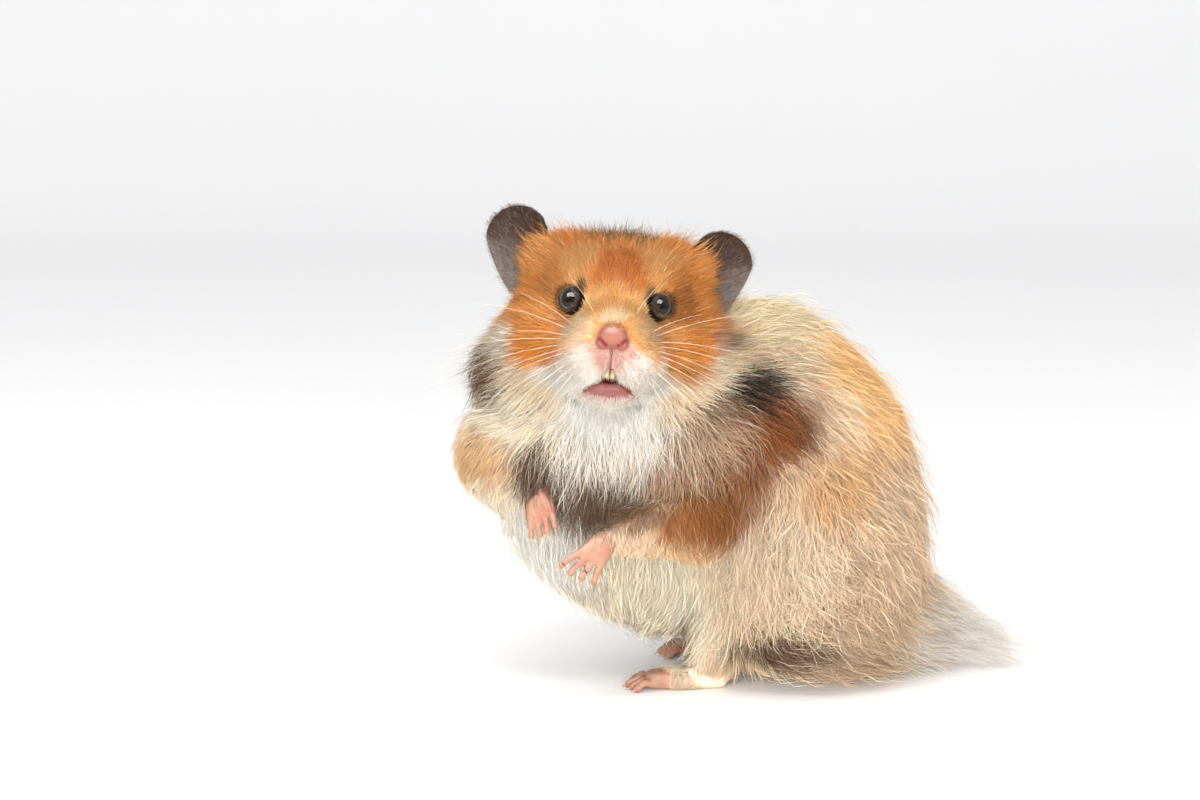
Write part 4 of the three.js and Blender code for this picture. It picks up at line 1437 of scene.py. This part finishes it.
WISPS = [  # middle, spread, heading, length, count
    ([-20, 6, 72], [8, 10, 6], [-1, 0, -0.4], (9, 19), 300),
    ([66, 14, 8], [16, 22, 12], [1, -0.25, -0.1], (12, 24), 1300),
]
wisps = np.concatenate([wisp_paths(np.array(middle), *rest, draw) for middle, *rest in WISPS])
wisp_tone = 0.85 * PEARL * np.exp(draw.normal(size=(len(wisps), 1)) * 0.06)
wisp_radii = np.tile(WISP_RADII, (len(wisps), 1))
new_coat("wisps", wisps, wisp_radii, np.clip(wisp_tone, 0, 1), "coat_cream", ["tail", "rump", "chest"], CORE)

# ---------- Ear hair ----------
# Fine short hair on both faces of each ear, dark, with paler hairs swept outward on the lower half. It is
# thin enough for the dark skin to show through.

EAR_HAIR_LENGTH = (0.8, 1.9)
EAR_HAIR_RADII = [0.024, 0.019]


def ear_hair(mesh, side, density, draw):
    """Hairs that leave an ear's face at a low angle, away from its notch, and bend back to it: root +
    length x (share x heading - 0.12 x share squared x outward). Returns paths and radii."""
    points, faces = mesh
    a, b, c = (points[faces[:, k]] for k in range(3))
    area = np.linalg.norm(np.cross(b - a, c - a), axis=1) / 2
    out = unit(np.cross(b - a, c - a))
    pick = draw.choice(len(faces), int(density * area.sum()), p=area / area.sum())
    share = draw.uniform(size=(3, len(pick), 1))
    share /= share.sum(0)
    root = share[0] * a[pick] + share[1] * b[pick] + share[2] * c[pick]
    notch = ear_point(0.8, -np.pi / 2, 0, side)
    lie = unit(root - notch) + [0.35 * side, 0, -0.1]
    lie += draw.normal(size=lie.shape) * 0.2
    lie -= (lie * out[pick]).sum(1, keepdims=True) * out[pick]
    way = unit(unit(lie) + 0.16 * out[pick])
    size = draw.uniform(*EAR_HAIR_LENGTH, (len(pick), 1))
    stations = np.linspace(0, 1, 4)[None, :, None]
    bend = 0.12 * stations**2 * (size * out[pick])[:, None]
    paths = root[:, None] + stations * (size * way)[:, None] - bend
    return paths, np.tile(EAR_HAIR_RADII, (len(pick), 1)) * draw.uniform(0.8, 1.2, (len(pick), 1))


PALE_EAR_HAIR = tint(196, 172, 148)
EAR_HAIRS = 7  # to the square millimetre
for (name, side), mesh in zip(SIDES.items(), ear_meshes):
    paths_here, radii_here = ear_hair(mesh, side, EAR_HAIRS, draw)
    low = soft_step(-to_head(paths_here[:, 0])[:, 2], -13, -5)
    pale = draw.uniform(size=len(low)) < 0.15 + 0.6 * low
    tone = np.where(pale[:, None], PALE_EAR_HAIR, EAR_DARK) * np.exp(draw.normal(size=(len(low), 1)) * 0.15)
    middle = from_head(np.array(EAR["at"]) * [side, 1, 1]) + [0, 30, 0]
    new_coat(f"ear_hair_{name}", paths_here, radii_here, tone, "ear_skin", [f"ear_{name}"], middle)

# ---------- Whiskers ----------
# Long springy white hairs that fan out from the pads beside the nose and bend down under their own
# weight. They start exactly on the skin.

WHISKER_RADIUS = 0.031  # at the root
WHISKER_LENGTH = (17, 28)
WHISKER_SAG = np.array([0, 0.16, -0.2])  # back and down, as a share of the length
WHISKER_FAN = [58, 34, 22, 10, 2, -6, -13, -20, -27, -34, -42, -52]  # degrees above the level


def whisker_paths(draw):
    """Each whisker starts on the skin and runs root + length x (share x heading) with a sag of share
    squared. The first grows higher than the rest, beside the bridge of the nose."""
    fan = np.radians(WHISKER_FAN)
    paths = []
    for side in (-1, 1):
        angle = fan + draw.normal(size=len(fan)) * np.radians(3)
        size = draw.uniform(*WHISKER_LENGTH, len(fan))
        size[:2] *= 0.65
        along = np.linspace(0, 1, len(fan))
        root = np.stack([side * (6.2 + 1.9 * np.sin(np.pi * along)), -20 + 0 * along, -3.4 - 8.2 * along], 1)
        root[0] = [3.6 * side, -20, -1.2]
        for _ in range(12):
            root[:, 1] += skin_level(from_head(root))
        ahead = np.stack([side * np.cos(angle), -0.28 + 0 * angle, np.sin(angle)], 1)
        share = np.linspace(0, 1, 9)[None, :, None]
        line = root[:, None] + size[:, None, None] * (share * ahead[:, None] + share**2 * WHISKER_SAG)
        paths.append(from_head(line.reshape(-1, 3)).reshape(line.shape))
    return np.concatenate(paths)


def whisker_horn(shade):
    """White springy hair, a little darker and yellower in places."""
    streak = noise(shade, 500)
    colour = between(shade, streak, (*tint(206, 188, 170), 1), (*tint(238, 228, 216), 1))
    return shade.node("BsdfPrincipled", Base_Color=colour, Roughness=streak * 0.15 + 0.3)


lines = whisker_paths(draw)
taper = WHISKER_RADIUS * np.linspace(1, 0.3, 7) * np.ones((len(lines), 1))
points, faces = spindles(lines, taper, 6, np.tile([0.0, 1.0, 0.2], (len(lines), 1)))
new_piece("whiskers", points, faces, finish("whisker_horn", whisker_horn), "whisker", ["head"])

# ---------- Floor and light ----------
# A sweep of pale paper that curves up behind, a bright even room, and large soft lamps in front, above and
# behind. Reflections show the room as dim, with one wide window in it.


def sweep(width=6000, front=-3000, bend=700, radius=500, rise=1500, steps=48):
    """Flat floor from the front to the bend, then a quarter circle up: a profile along Y carried along
    X."""
    turn = np.linspace(0, np.pi / 2, steps)
    y = np.concatenate([[front], bend + radius * np.sin(turn), [bend + radius]])
    z = np.concatenate([[0], radius * (1 - np.cos(turn)), [rise]]) - 0.02
    x = np.array([-width / 2, width / 2])
    points = np.stack([np.tile(x, len(y)), np.repeat(y, 2), np.repeat(z, 2)], 1)
    low = 2 * np.arange(len(y) - 1)
    return points, np.stack([low, low + 1, low + 3, low + 2], 1)


def paper(shade):
    """White paper with a faint unevenness."""
    colour = between(shade, noise(shade, 3), (0.845, 0.845, 0.85, 1), (0.875, 0.872, 0.87, 1))
    return shade.node("BsdfPrincipled", Base_Color=colour, Roughness=0.7)


points, faces = sweep()
floor_mesh = bpy.data.meshes.new("floor")
floor_mesh.from_pydata((points * MM).tolist(), [], faces.tolist())
floor_mesh.shade_smooth()
floor_mesh.materials.append(finish("paper", paper))
floor = bpy.data.objects.new("floor", floor_mesh)
bpy.context.scene.collection.objects.link(floor)

world = bpy.data.worlds.new("room")
world.use_nodes = True
room = Shade(world.node_tree)
ahead = room.node("SeparateXYZ", output=1, Vector=room.node("TexCoord"))
gloss = room.node("LightPath", output=3)
# what reflections take off the room's brightness: a little behind and most of it in front
gloom = room.node("MapRange", Value=ahead, From_Min=-0.1, From_Max=-0.75, To_Min=0.2, To_Max=0.89)
strength = 0.9 - gloss * gloom
world.node_tree.links.new(world.node_tree.nodes["Background"].inputs["Strength"], strength.socket)
world.node_tree.nodes["Background"].inputs["Color"].default_value = (0.985, 0.99, 1.0, 1)
bpy.context.scene.world = world
bpy.context.scene.view_settings.view_transform = "Standard"

LAMPS = [  # name, place in the body frame, width and depth, watts, whether it shows only in reflections
    ("front", [-60, -640, 130], (600, 260), 6.9, False),
    ("ceiling", [0, -240, 540], (320, 100), 1.0, False),
    ("fill", [420, -420, 180], (300, 300), 0.5, False),
    ("top", [60, 160, 600], (380, 380), 0.3, False),
    ("window", [-40, -215, 600], (1000, 420), 24.0, True),
]
for name, at, size, watts, window in LAMPS:
    lamp_data = bpy.data.lights.new(name, "AREA")
    lamp_data.shape = "RECTANGLE"
    lamp_data.size, lamp_data.size_y = size[0] * MM, size[1] * MM
    lamp_data.energy = watts
    lamp = bpy.data.objects.new(name, lamp_data)
    lamp.location = (np.array(at) + PLACE) * MM
    toward = np.array([10, 5, 50]) - at
    lamp.rotation_euler = Vector(toward).to_track_quat("-Z", "Y").to_euler()
    lamp.visible_glossy = window
    lamp.visible_diffuse = lamp.visible_transmission = not window
    bpy.context.scene.collection.objects.link(lamp)
